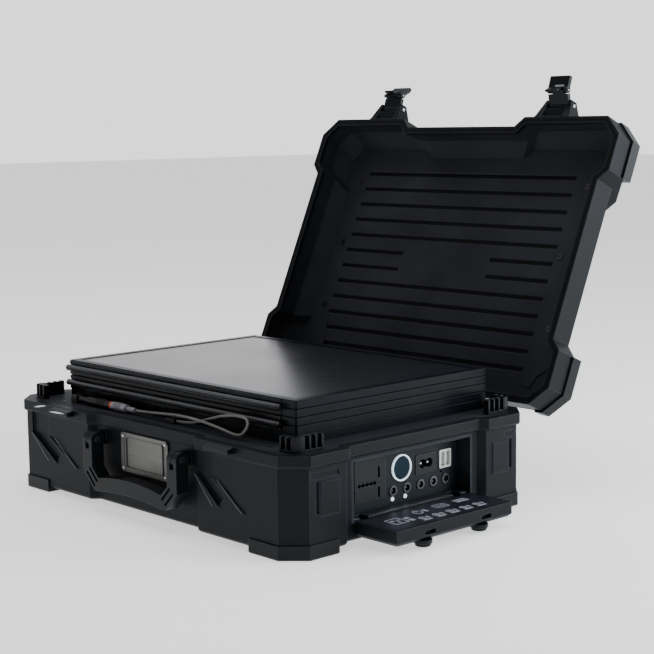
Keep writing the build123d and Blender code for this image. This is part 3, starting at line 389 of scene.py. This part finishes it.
# Materials of pieces that differ from their slot's.
EXTRA_MAKERS = {
    "cells": solar_cells,
    "white_print": lambda n: glossy_plastic(n, colour(0.36, 0.37, 0.44), 0.5),
    "bright_steel": lambda n: brushed_metal(n, colour(0.55, 0.56, 0.58), 0.28),
    # A pale plastic for the strips along the slanted ribs' edges: a painted highlight.
    "rib_highlight_plastic": lambda n: glossy_plastic(n, colour(0.085, 0.087, 0.092), 0.45),
    "sill_steel": lambda n: brushed_metal(n, colour(0.16, 0.16, 0.17), 0.4),
    # Near black: the dark line round each panel's sheet, and the painted shadow laid in the lining's grooves.
    "black_gap_and_shadow": lambda n: rubber(n, colour(0.0025, 0.0025, 0.003), 0.7),
}


def make_materials():
    """Every material, by its name."""
    return {name: maker(name) for name, maker in {**MAKERS, **EXTRA_MAKERS}.items()}


def paint_nodes(materials):
    """Gives every CAD node its slot's material."""
    slots = {s["node"]: s["material_slot"] for s in frame["record"]["subparts"]}
    for name, node in NODES.items():
        material = materials[slots[name]]
        node.data.materials.clear()
        node.data.materials.append(material)


# ---- mesh helpers --------------------------------------------------------------------------------


def new_piece(name, mesh, body, slot_name, materials, material=None):
    """Links a mesh as a piece that rides on a body."""
    piece = bpy.data.objects.new(name, mesh)
    bpy.context.scene.collection.objects.link(piece)
    mesh.materials.append(material or materials[slot_name])
    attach(piece, body)
    return piece


def mesh_from(bm, name):
    """A mesh made of a finished bmesh, with its faces turned outwards."""
    mesh = bpy.data.meshes.new(name)
    bmesh.ops.recalc_face_normals(bm, faces=bm.faces)
    bm.to_mesh(mesh)
    bm.free()
    return mesh


def add_plate(bm, outline, lift):
    """A thin plate: the closed outline, a list of points, raised by the vector lift."""
    low = [bm.verts.new(p) for p in outline]
    high = [bm.verts.new(p + lift) for p in outline]
    bm.faces.new(low)
    bm.faces.new(high[::-1])
    for i in range(len(low)):
        bm.faces.new((low[i - 1], low[i], high[i], high[i - 1]))


def add_band(bm, inner, outer, lift):
    """A flat closed band between two outlines with as many points, raised by the vector lift."""
    count = len(inner)
    rows = [[bm.verts.new(p + rise) for p in line] for line in (inner, outer) for rise in (Vector(), lift)]
    in_low, in_high, out_low, out_high = rows
    for i in range(count):
        for a, b in ((in_low, out_low), (out_low, out_high), (out_high, in_high), (in_high, in_low)):
            bm.faces.new((a[i - 1], a[i], b[i], b[i - 1]))


LEAST_CUT = 0.02  # keeps a square corner's two points apart


def box_outline(middle, along, across, half_along, half_across, cut=0.0):
    """Eight points of a rectangle with cut corners, about the middle in the plane of two unit vectors."""
    a, b, c = half_along, half_across, max(cut, LEAST_CUT)
    corners = (
        (c - a, -b), (a - c, -b), (a, c - b), (a, b - c),
        (a - c, b), (c - a, b), (-a, b - c), (-a, c - b),
    )
    return [middle + (along * u + across * v) * MM for u, v in corners]


def round_outline(middle, along, across, radius, sides=20):
    """Points of a circle about the middle in the plane of two unit vectors."""
    turns = [2 * math.pi * k / sides for k in range(sides)]
    return [middle + (along * math.cos(t) + across * math.sin(t)) * radius * MM for t in turns]


def add_turned(bm, start, axis, profile, sides=24):
    """A solid turned about the axis: profile is pairs of distance along it and radius, in mm."""
    axis = Vector(axis).normalized()
    across = axis.orthogonal().normalized()
    up = axis.cross(across)
    rings = []
    for along, radius in profile:
        outline = round_outline(start + axis * along * MM, across, up, radius, sides)
        rings.append([bm.verts.new(p) for p in outline])
    for a, b in zip(rings, rings[1:]):
        for k in range(sides):
            bm.faces.new((a[k - 1], a[k], b[k], b[k - 1]))
    bm.faces.new(rings[0])
    bm.faces.new(rings[-1][::-1])


DOME_END = math.radians(84)  # short of the pole, where a small flat closes the dome


def dome(radius, height, steps=5):
    """The profile of a domed head."""
    turns = [DOME_END * k / steps for k in range(steps + 1)]
    return [(height * math.sin(t), radius * math.cos(t)) for t in turns]


X, Y, Z = Vector((1, 0, 0)), Vector((0, 1, 0)), Vector((0, 0, 1))


# ---- lead ----------------------------------------------------------------------------------------

LEAD_D = 2.4
# The lead's route from its plug to the deck's gland, in mm from the middle of the feet.
LEAD_ROUTE = [
    (-40, -117.5, 88.4),
    (-26, -117.6, 88.9),
    (0, -118.4, 90.9),
    (28, -119.7, 93.2),
    (56, -120.6, 92.8),
    (84, -122.2, 90.6),
    (100, -123.4, 88.6),
    (113, -124, 87.6),
    (117.8, -121.5, 91.7),
    (117.8, -118.1, 97.4),
    (113, -115.7, 101.5),
    (100.5, -115.2, 101.9),
    (80, -115.2, 99.2),
    (61, -115.4, 93.4),
    (44, -115.6, 88.4),
    (31, -115.8, 86.7),
    (19, -116, 86.4),
]


def nurbs_line(name, points):
    """A smooth open curve whose control points are the route's."""
    curve = bpy.data.curves.new(name, "CURVE")
    curve.dimensions = "3D"
    curve.resolution_u = 8
    spline = curve.splines.new("NURBS")
    spline.points.add(len(points) - 1)
    for point, place in zip(spline.points, points):
        point.co = (*place, 1.0)
    spline.order_u = 3
    spline.use_endpoint_u = True
    return curve


def curve_points(curve):
    """Points along a curve, as Blender draws it."""
    holder = bpy.data.objects.new("line", curve)
    bpy.context.scene.collection.objects.link(holder)
    line = bpy.data.meshes.new_from_object(holder)
    points = [v.co.copy() for v in line.vertices]
    bpy.data.objects.remove(holder)
    return points


def tube_mesh(name, points, radius, sides=14):
    """A closed round tube along the points."""
    bm = bmesh.new()
    rings = []
    across = Vector((0, 0, 1))
    for i, p in enumerate(points):
        ahead = (points[min(i + 1, len(points) - 1)] - points[max(i - 1, 0)]).normalized()
        side = ahead.cross(across).normalized()
        across = side.cross(ahead).normalized()
        turns = [2 * math.pi * k / sides for k in range(sides)]
        spokes = [side * math.cos(t) + across * math.sin(t) for t in turns]
        rings.append([bm.verts.new(p + spoke * radius) for spoke in spokes])
    for a, b in zip(rings, rings[1:]):
        for k in range(sides):
            bm.faces.new((a[k - 1], a[k], b[k], b[k - 1]))
    bm.faces.new(rings[0])
    bm.faces.new(rings[-1][::-1])
    mesh = mesh_from(bm, name)
    mesh.shade_smooth()
    return mesh


# Grip ribs: how many, how high, and for each node its slot, where they start and how far apart they are.
GRIP_RIBS, GRIP_H, GRIP_ROOT = 5, 0.5, 0.1
GRIPS = {"lead_plug": ("plug_plastic", 0.12, 2.2), "lead_socket": ("connector_plastic", 0.62, 2.6)}


def make_grip_ribs(materials, name):
    """Grip ribs round the plug or the socket, from a share of its length on."""
    slot_name, start, gap = GRIPS[name]
    low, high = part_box(name)
    middle = (low + high) / 2
    radius = (high.y - low.y) / 2 / MM
    root, top = radius - GRIP_ROOT, radius + GRIP_H
    bm = bmesh.new()
    for k in range(GRIP_RIBS):
        x = low.x + (high.x - low.x) * start + k * gap * MM
        place = Vector((x, middle.y, middle.z))
        add_turned(bm, place, X, [(0, root), (0.25, top), (0.9, top), (1.15, root)], 20)
    return new_piece(f"{name}_ribs", mesh_from(bm, "ribs"), "base", slot_name, materials)


def make_lead(materials):
    """The lead, a tube along its smooth line, with the plug and what is on it."""
    plug_ribs = make_grip_ribs(materials, "lead_plug")
    points = curve_points(nurbs_line("lead_line", [at(*p) for p in reversed(LEAD_ROUTE)]))
    mesh = tube_mesh("lead", points, LEAD_D / 2 * MM)
    lead = new_piece("lead", mesh, "base", "lead_jacket", materials)
    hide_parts("array_lead")
    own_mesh(lead)


# ---- solar cells ---------------------------------------------------------------------------------

# Each panel's letter, its body, and whether its cells face up when the stack is folded.
PANELS = (("a", "panel_a", False), ("b", "panel_b", True), ("c", "panel_c", False), ("d", "base", True))
CELL_GRID = (8, 5)
CELL_BORDER, CELL_GAP, CELL_CORNER, CELL_T = 6.0, 2.0, 5.0, 0.15


def make_cells(materials, letter, body, face_up):
    """The cells of one panel, laid on the laminate's top or underside."""
    low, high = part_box(f"panel_{letter}_laminate")
    border = CELL_BORDER * MM
    z = high.z if face_up else low.z
    lift = Vector((0, 0, CELL_T * MM if face_up else -CELL_T * MM))
    step_x = (high.x - low.x - 2 * border) / CELL_GRID[0]
    step_y = (high.y - low.y - 2 * border) / CELL_GRID[1]
    gap, cut = CELL_GAP * MM / 2, CELL_CORNER * MM
    bm = bmesh.new()
    for i in range(CELL_GRID[0]):
        for j in range(CELL_GRID[1]):
            x0, x1 = low.x + border + i * step_x + gap, low.x + border + (i + 1) * step_x - gap
            y0, y1 = low.y + border + j * step_y + gap, low.y + border + (j + 1) * step_y - gap
            corners = [
                (x0 + cut, y0), (x1 - cut, y0), (x1, y0 + cut), (x1, y1 - cut),
                (x1 - cut, y1), (x0 + cut, y1), (x0, y1 - cut), (x0, y0 + cut),
            ]
            add_plate(bm, [Vector((x, y, z)) for x, y in corners], lift)
    new_piece(f"cells_{letter}", mesh_from(bm, "cells"), body, "laminate", materials, materials["cells"])


# ---- small details -------------------------------------------------------------------------------

PRINT_T = 0.08
# Signs on the door's label: places along the case (y) and across the label, 0 at the bay and 1 at the edge.
SOCKET_SIGN = (-46.0, 0.5)
BUTTON_SIGN, INLET_SIGN, USB_SIGN = (-13.0, 0.30), (16.0, 0.26), (42.0, 0.24)
JACK_SIGNS = [(y, 0.74) for y in (-24.0, -7.5, 9.0, 25.5, 42.0)]


def make_signs(materials):
    """Plain signs on the door's label that mark the ports over it: outlines, rings and bars."""
    low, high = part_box("door_label")
    lift = Z * PRINT_T * MM

    def spot(y, across):
        return Vector((low.x + (high.x - low.x) * across, CASE.y + y * MM, high.z))

    def outline(bm, middle, half_x, half_y, line):
        inner = box_outline(middle, X, Y, half_x - line, half_y - line, 1.0)
        add_band(bm, inner, box_outline(middle, X, Y, half_x, half_y, 1.4), lift)

    def bar(bm, middle, half_x, half_y):
        add_plate(bm, box_outline(middle, X, Y, half_x, half_y, 0.2), lift)

    def ring(bm, middle, radius, line):
        add_band(bm, round_outline(middle, X, Y, radius - line), round_outline(middle, X, Y, radius), lift)

    bm = bmesh.new()
    socket = spot(*SOCKET_SIGN)
    outline(bm, socket, 8.0, 8.0, 1.3)
    bar(bm, socket + X * 3.4 * MM, 1.8, 1.2)
    bar(bm, socket + Vector((-1.8, 3.4, 0)) * MM, 1.2, 2.0)
    bar(bm, socket + Vector((-1.8, -3.4, 0)) * MM, 1.2, 2.0)
    bar(bm, socket + Vector((5.0, 12.6, 0)) * MM, 2.6, 2.6)
    bar(bm, socket + Vector((-1.5, 12.6, 0)) * MM, 2.2, 2.6)
    button = spot(*BUTTON_SIGN)
    ring(bm, button, 5.0, 1.4)
    bar(bm, button - X * 3.4 * MM, 3.0, 0.9)
    bar(bm, button + Y * 8.6 * MM, 3.4, 1.8)
    inlet = spot(*INLET_SIGN)
    outline(bm, inlet, 5.0, 7.4, 1.3)
    for side in (-1, 1):
        ring(bm, inlet + Y * side * 2.7 * MM, 2.1, 0.9)
    usb = spot(*USB_SIGN)
    for side in (-1, 1):
        bar(bm, usb + X * side * 2.3 * MM, 1.7, 7.4)
    for place in JACK_SIGNS:
        jack = spot(*place)
        ring(bm, jack - X * 2.0 * MM, 3.6, 1.2)
        bar(bm, jack - X * 2.0 * MM, 1.3, 1.3)
        bar(bm, jack + Vector((3.6, 1.0, 0)) * MM, 1.4, 5.0)
        bar(bm, jack + Vector((-1.8, 6.4, 0)) * MM, 2.4, 1.3)
    signs = mesh_from(bm, "door_signs")
    new_piece("door_signs", signs, "port_door", "label_sheet", materials, materials["white_print"])


# The strip bends about the door's axis, over an arc in degrees, and runs between the door's arms.
SILL_AXIS, SILL_R, SILL_T, SILL_ARC = (185.5, 14.0), 7.25, 0.25, (62, 82)
SILL_SPANS = ((-70.0, -61.2), (-50.8, 50.8), (61.2, 70.0))


def make_sill_strip(materials):
    """A bright strip bent over the bay's rounded sill, broken where the door's arms pass."""
    bm = bmesh.new()
    steps = 6
    turns = [math.radians(SILL_ARC[0] + (SILL_ARC[1] - SILL_ARC[0]) * k / steps) for k in range(steps + 1)]
    radii = [SILL_R] * (steps + 1) + [SILL_R + SILL_T] * (steps + 1)
    for y0, y1 in SILL_SPANS:
        section = [
            at(SILL_AXIS[0] + r * math.cos(t), y0, SILL_AXIS[1] + r * math.sin(t))
            for r, t in zip(radii, turns + turns[::-1])
        ]
        add_plate(bm, section, Y * (y1 - y0) * MM)
    strip = mesh_from(bm, "sill_strip")
    new_piece("sill_strip", strip, "base", "screw_steel", materials, materials["sill_steel"])


# The rivets' feet lie behind the node's front, and the border's foot behind theirs, in the sunk field.
RIVET_X, RIVET_Z, RIVET_FOOT = 30.6, 14.4, 0.45
BORDER_HALF, BORDER_W, BORDER_H, BORDER_FOOT = (26.9, 13.9), 0.8, 1.15, 0.8


def make_plate_relief(materials):
    """The nameplate's raised border and its four domed rivets."""
    low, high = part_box("name_plate")
    middle = Vector(((low.x + high.x) / 2, low.y + RIVET_FOOT * MM, (low.z + high.z) / 2))
    foot = middle + Y * BORDER_FOOT * MM
    half_x, half_z = BORDER_HALF
    bm = bmesh.new()
    inner = box_outline(foot, X, Z, half_x - BORDER_W, half_z - BORDER_W, 1.4)
    add_band(bm, inner, box_outline(foot, X, Z, half_x, half_z, 1.8), -Y * BORDER_H * MM)
    new_piece("plate_border", mesh_from(bm, "plate_border"), "base", "plate_metal", materials)
    bm = bmesh.new()
    for side in (-1, 1):
        for end in (-1, 1):
            place = middle + (X * side * RIVET_X + Z * end * RIVET_Z) * MM
            add_turned(bm, place, -Y, dome(1.7, 1.1))
    mesh = mesh_from(bm, "plate_rivets")
    mesh.shade_smooth()
    new_piece("plate_rivets", mesh, "base", "screw_steel", materials, materials["bright_steel"])


GASKET_W, GASKET_GAP, GASKET_T = 2.4, 0.05, 0.35


def make_gaskets(materials):
    """The dark line between each panel's frame and its sheet."""
    for letter, body, _ in PANELS:
        low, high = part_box(f"panel_{letter}_laminate")
        middle = (low + high) / 2
        half_x, half_y = (high.x - low.x) / 2 / MM, (high.y - low.y) / 2 / MM
        bm = bmesh.new()
        for z, lift in ((high.z, Z), (low.z, -Z)):
            centre = Vector((middle.x, middle.y, z))
            inner = box_outline(centre, X, Y, half_x - GASKET_W, half_y - GASKET_W)
            outer = box_outline(centre, X, Y, half_x - GASKET_GAP, half_y - GASKET_GAP)
            add_band(bm, inner, outer, lift * GASKET_T * MM)
        gasket = mesh_from(bm, "gasket")
        new_piece(f"gasket_{letter}", gasket, body, "seal_rubber", materials, materials["black_gap_and_shadow"])


# The slanted ribs on the front pods: x at the top and the foot of each, their heights and their face.
RIBS = ((-172.0, -144.0), (-133.0, -99.0), (77.0, 100.0), (106.0, 138.0))
RIB_Z, RIB_Y, RIB_EDGE, RIB_EDGE_T = (54.0, 30.5), -143.8, 1.1, 0.12


def make_rib_edges(materials):
    """A narrow paler line along the edge of each slanted rib: a painted highlight."""
    bm = bmesh.new()
    top_z, low_z = RIB_Z
    for top, low in RIBS:
        corners = ((top, top_z), (top + RIB_EDGE, top_z), (low + RIB_EDGE, low_z), (low, low_z))
        add_plate(bm, [at(x, RIB_Y, z) for x, z in corners], -Y * RIB_EDGE_T * MM)
    edges = mesh_from(bm, "rib_edges")
    new_piece("rib_edges", edges, "base", "shell_plastic", materials, materials["rib_highlight_plastic"])


# Bright steel slips on the front flange and the left latch's striker, a painted glint: the node under each, its
# two ends as x and z, and its rise.
GLINT_SLIPS = (
    ("corner_feet", (-166, 79.2), (-144, 83.0), 1.5),
    ("latch_strikers", (-128.5, 80.6), (-102.5, 81.6), 1.5),
)
GLINT_SLIP_OUT, GLINT_SLIP_T = 0.25, 0.6


def make_glint_slips(materials):
    """Curved slips of bright steel on the front flange and on the left latch's striker: a painted glint."""
    bm = bmesh.new()
    steps = 8
    over = [k / steps for k in range(steps + 1)]
    for node, (x0, z0), (x1, z1), arch in GLINT_SLIPS:
        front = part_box(node)[0].y - GLINT_SLIP_OUT * MM

        def edge(t, bulge):
            rise = 4 * t * (1 - t) * arch * bulge
            spot = at(x0 + (x1 - x0) * t, 0, z0 + (z1 - z0) * t + rise)
            return Vector((spot.x, front, spot.z))

        outline = [edge(t, 0.6) for t in over] + [edge(t, -0.4) for t in over[-2:0:-1]]
        add_plate(bm, outline, Y * GLINT_SLIP_T * MM)
    glint_slips = mesh_from(bm, "glint_slips")
    new_piece("flange_glint_slips", glint_slips, "base", "screw_steel", materials, materials["bright_steel"])


# The rows of grooves in the lid's lining and of ribs outside, in the closed lid's own places.
LID_ROWS, LID_ROW_START, LID_ROW_PITCH = 12, -93.4, 17.85
# The grooves run between two ends, and the smooth middle of the lining breaks the rows inside it.
GROOVE_X, SMOOTH_X, SMOOTH_Y = (-150.0, 136.5), (-64.0, 57.0), (-10.0, 20.0)
GROOVE_Z, GROOVE_HALF, GROOVE_T = 122.8, 1.75, 0.2
# The ribs stand on the lid's top, long ones and, beside its smooth middle, pairs of short ones.
LID_TOP_Z, LID_RIB_HALF, LID_RIB_H = 128.0, 140.0, 1.3
SHORT_ROWS, SHORT_RIB_X, SHORT_RIB_HALF = (4, 5, 6, 7), 102.0, 38.0


def opened_lid():
    """The turn that takes the closed lid's places to the open lid's."""
    hinge = JOINTS["lid_hinge"]
    pivot = Matrix.Translation(Vector(hinge["pos_m"]))
    opening = math.radians(hinge["range_deg"][1] - hinge["range_deg"][0])
    return pivot @ Matrix.Rotation(opening, 4, Vector(hinge["axis"])) @ pivot.inverted()


def make_groove_shadows(materials):
    """Dark plates laid in the lining's grooves: a painted shadow over their bottoms."""
    opened = opened_lid()
    lift = opened.to_3x3() @ Z * GROOVE_T * MM
    bm = bmesh.new()
    for k in range(LID_ROWS):
        y = LID_ROW_START + k * LID_ROW_PITCH
        broken = SMOOTH_Y[0] < y < SMOOTH_Y[1]
        halves = ((GROOVE_X[0], SMOOTH_X[0]), (SMOOTH_X[1], GROOVE_X[1]))
        for x0, x1 in halves if broken else (GROOVE_X,):
            middle = at((x0 + x1) / 2, y, GROOVE_Z)
            outline = box_outline(middle, X, Y, (x1 - x0) / 2 - 0.4, GROOVE_HALF, 0.8)
            add_plate(bm, [opened @ p for p in outline], lift)
    shadows = mesh_from(bm, "grooves")
    new_piece("groove_shadows", shadows, "lid", "liner_plastic", materials, materials["black_gap_and_shadow"])


def make_lid_ribs(materials):
    """Low tapered ribs along the lid's outside."""
    opened = opened_lid()
    bm = bmesh.new()
    for k in range(LID_ROWS):
        y = LID_ROW_START + k * LID_ROW_PITCH
        short = [(-SHORT_RIB_X, SHORT_RIB_HALF), (SHORT_RIB_X, SHORT_RIB_HALF)]
        for x, half in short if k in SHORT_ROWS else [(0.0, LID_RIB_HALF)]:
            foot = box_outline(at(x, y, LID_TOP_Z - 0.1), X, Y, half, 3.4, 2.6)
            head = box_outline(at(x, y, LID_TOP_Z + LID_RIB_H), X, Y, half - 1.4, 2.0, 1.4)
            rings = [[bm.verts.new(opened @ p) for p in outline] for outline in (foot, head)]
            bm.faces.new(rings[0])
            bm.faces.new(rings[1][::-1])
            for i in range(len(foot)):
                bm.faces.new((rings[0][i - 1], rings[0][i], rings[1][i], rings[1][i - 1]))
    new_piece("lid_ribs", mesh_from(bm, "lid_ribs"), "lid", "shell_plastic", materials)


# The inlet's pins and then the jacks' pins: their places or their number, and their lengths and radii.
INLET_PINS, PIN_FOOT_X, PIN_LEN, PIN_R = ((26.1, 50.2), (34.7, 50.2)), 166.0, 8.0, 1.5
JACK_PINS, JACK_HALF, JACK_FOOT_X, JACK_PIN_LEN, JACK_PIN_R = 5, 4.6, 168.0, 5.6, 0.7


def make_pins(materials):
    """The mains inlet's two pins and the small pins in the round jacks."""
    bm = bmesh.new()
    for y, z in INLET_PINS:
        profile = [(0, PIN_R)] + [(PIN_LEN + a, r) for a, r in dome(PIN_R, 1.2)]
        add_turned(bm, at(PIN_FOOT_X, y, z), X, profile)
    low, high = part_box("dc_jacks")
    foot_x, reach = at(JACK_FOOT_X, 0, 0).x, JACK_HALF * MM
    step = (high.y - low.y - 2 * reach) / (JACK_PINS - 1)
    profile = [(0, JACK_PIN_R)] + [(JACK_PIN_LEN + a, r) for a, r in dome(JACK_PIN_R, 0.6)]
    for k in range(JACK_PINS):
        place = Vector((foot_x, low.y + reach + k * step, (low.z + high.z) / 2))
        add_turned(bm, place, X, profile, 14)
    mesh = mesh_from(bm, "port_pins")
    mesh.shade_smooth()
    new_piece("port_pins", mesh, "base", "jack_metal", materials, materials["bright_steel"])


LINK_HALF, LINK_OUT, LINK_R = 12.6, 4.2, 1.2


def make_link_rods(materials):
    """The bright rod that joins each latch's claw to its lever, and shows on its left."""
    for side in ("left", "right"):
        middle = Vector(JOINTS[f"latch_{side}_lever"]["pos_m"])
        low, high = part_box(f"latch_{side}_lever")
        middle.x = (low.x + high.x) / 2
        bm = bmesh.new()
        start = middle - X * (LINK_HALF + LINK_OUT) * MM
        profile = [(0, LINK_R - 0.3), (0.3, LINK_R), (2 * LINK_HALF + LINK_OUT, LINK_R)]
        add_turned(bm, start, X, profile, 16)
        mesh = mesh_from(bm, "link_rod")
        mesh.shade_smooth()
        name = f"latch_{side}_link_rod"
        new_piece(name, mesh, f"latch_{side}_claw", "hinge_steel", materials, materials["bright_steel"])


# ---- floor and light -----------------------------------------------------------------------------


def area_light(name, place, target, size, power, tint=(1.0, 1.0, 1.0)):
    """A soft rectangular light at a place, turned to a target."""
    data = bpy.data.lights.new(name, "AREA")
    data.shape = "RECTANGLE"
    data.size, data.size_y = size
    data.energy = power
    data.color = tint
    light = bpy.data.objects.new(name, data)
    bpy.context.scene.collection.objects.link(light)
    look = (target - place).to_track_quat("-Z", "Y")
    light.matrix_world = Matrix.Translation(place) @ look.to_matrix().to_4x4()
    light.visible_camera = False


BACKDROP = (-0.73, 0.68, 0.0)  # the direction of the bright side of the room
ROOM_TINT = (0.97, 0.975, 1.0)


def make_world():
    """A room that is bright behind the case on its left and dimmer elsewhere and overhead."""
    world = bpy.data.worlds.new("studio")
    world.use_nodes = True
    tree = world.node_tree
    background = tree.nodes["Background"]
    background.inputs["Color"].default_value = colour(*ROOM_TINT)

    def node(kind, inputs, **settings):
        made = tree.nodes.new(kind)
        for key, value in settings.items():
            setattr(made, key, value)
        for key, value in inputs.items():
            if isinstance(value, bpy.types.NodeSocket):
                tree.links.new(value, made.inputs[key])
            else:
                made.inputs[key].default_value = value
        return made.outputs

    direction = tree.nodes.new("ShaderNodeTexCoord").outputs["Generated"]
    toward = node("ShaderNodeVectorMath", {0: direction, 1: BACKDROP}, operation="DOT_PRODUCT")["Value"]
    height = node("ShaderNodeSeparateXYZ", {0: direction})[2]
    side = {"Value": toward, "From Min": -0.1, "From Max": 0.8, "To Min": 0.42, "To Max": 1.75}
    fall = {"Value": height, "From Min": 0.13, "From Max": 0.36, "To Min": 1.0, "To Max": 0.36}
    factors = {0: node("ShaderNodeMapRange", side)[0], 1: node("ShaderNodeMapRange", fall)[0]}
    strength = node("ShaderNodeMath", factors, operation="MULTIPLY")[0]
    tree.links.new(strength, background.inputs["Strength"])
    bpy.context.scene.world = world


FLOOR_HALF = 12.0  # metres


def make_studio():
    """The room, the pale floor and two soft lights."""
    make_world()
    mesh = bpy.data.meshes.new("floor")
    half = FLOOR_HALF
    corners = [(-half, -half, 0), (half, -half, 0), (half, half, 0), (-half, half, 0)]
    mesh.from_pydata(corners, [], [(0, 1, 2, 3)])
    floor = bpy.data.objects.new("floor", mesh)
    floor.location.z = -0.2 * MM
    mesh.materials.append(floor_surface("floor"))
    bpy.context.scene.collection.objects.link(floor)

    centre = at(0, 0, 120)
    area_light("key_right", at(1050, 850, 520), centre, (0.9, 0.7), 18, (0.88, 0.95, 1.0))
    area_light("overhead", at(-100, -100, 2200), centre, (2.0, 2.0), 24)


make_camera()
MATERIALS = make_materials()
make_lead(MATERIALS)
paint_nodes(MATERIALS)
for letter, body, face_up in PANELS:
    make_cells(MATERIALS, letter, body, face_up)
for make in (
    make_signs,
    make_sill_strip,
    make_plate_relief,
    make_gaskets,
    make_pins,
    make_link_rods,
    make_rib_edges,
    make_glint_slips,
    make_lid_ribs,
    make_groove_shadows,
):
    make(MATERIALS)
make_grip_ribs(MATERIALS, "lead_socket")
make_studio()
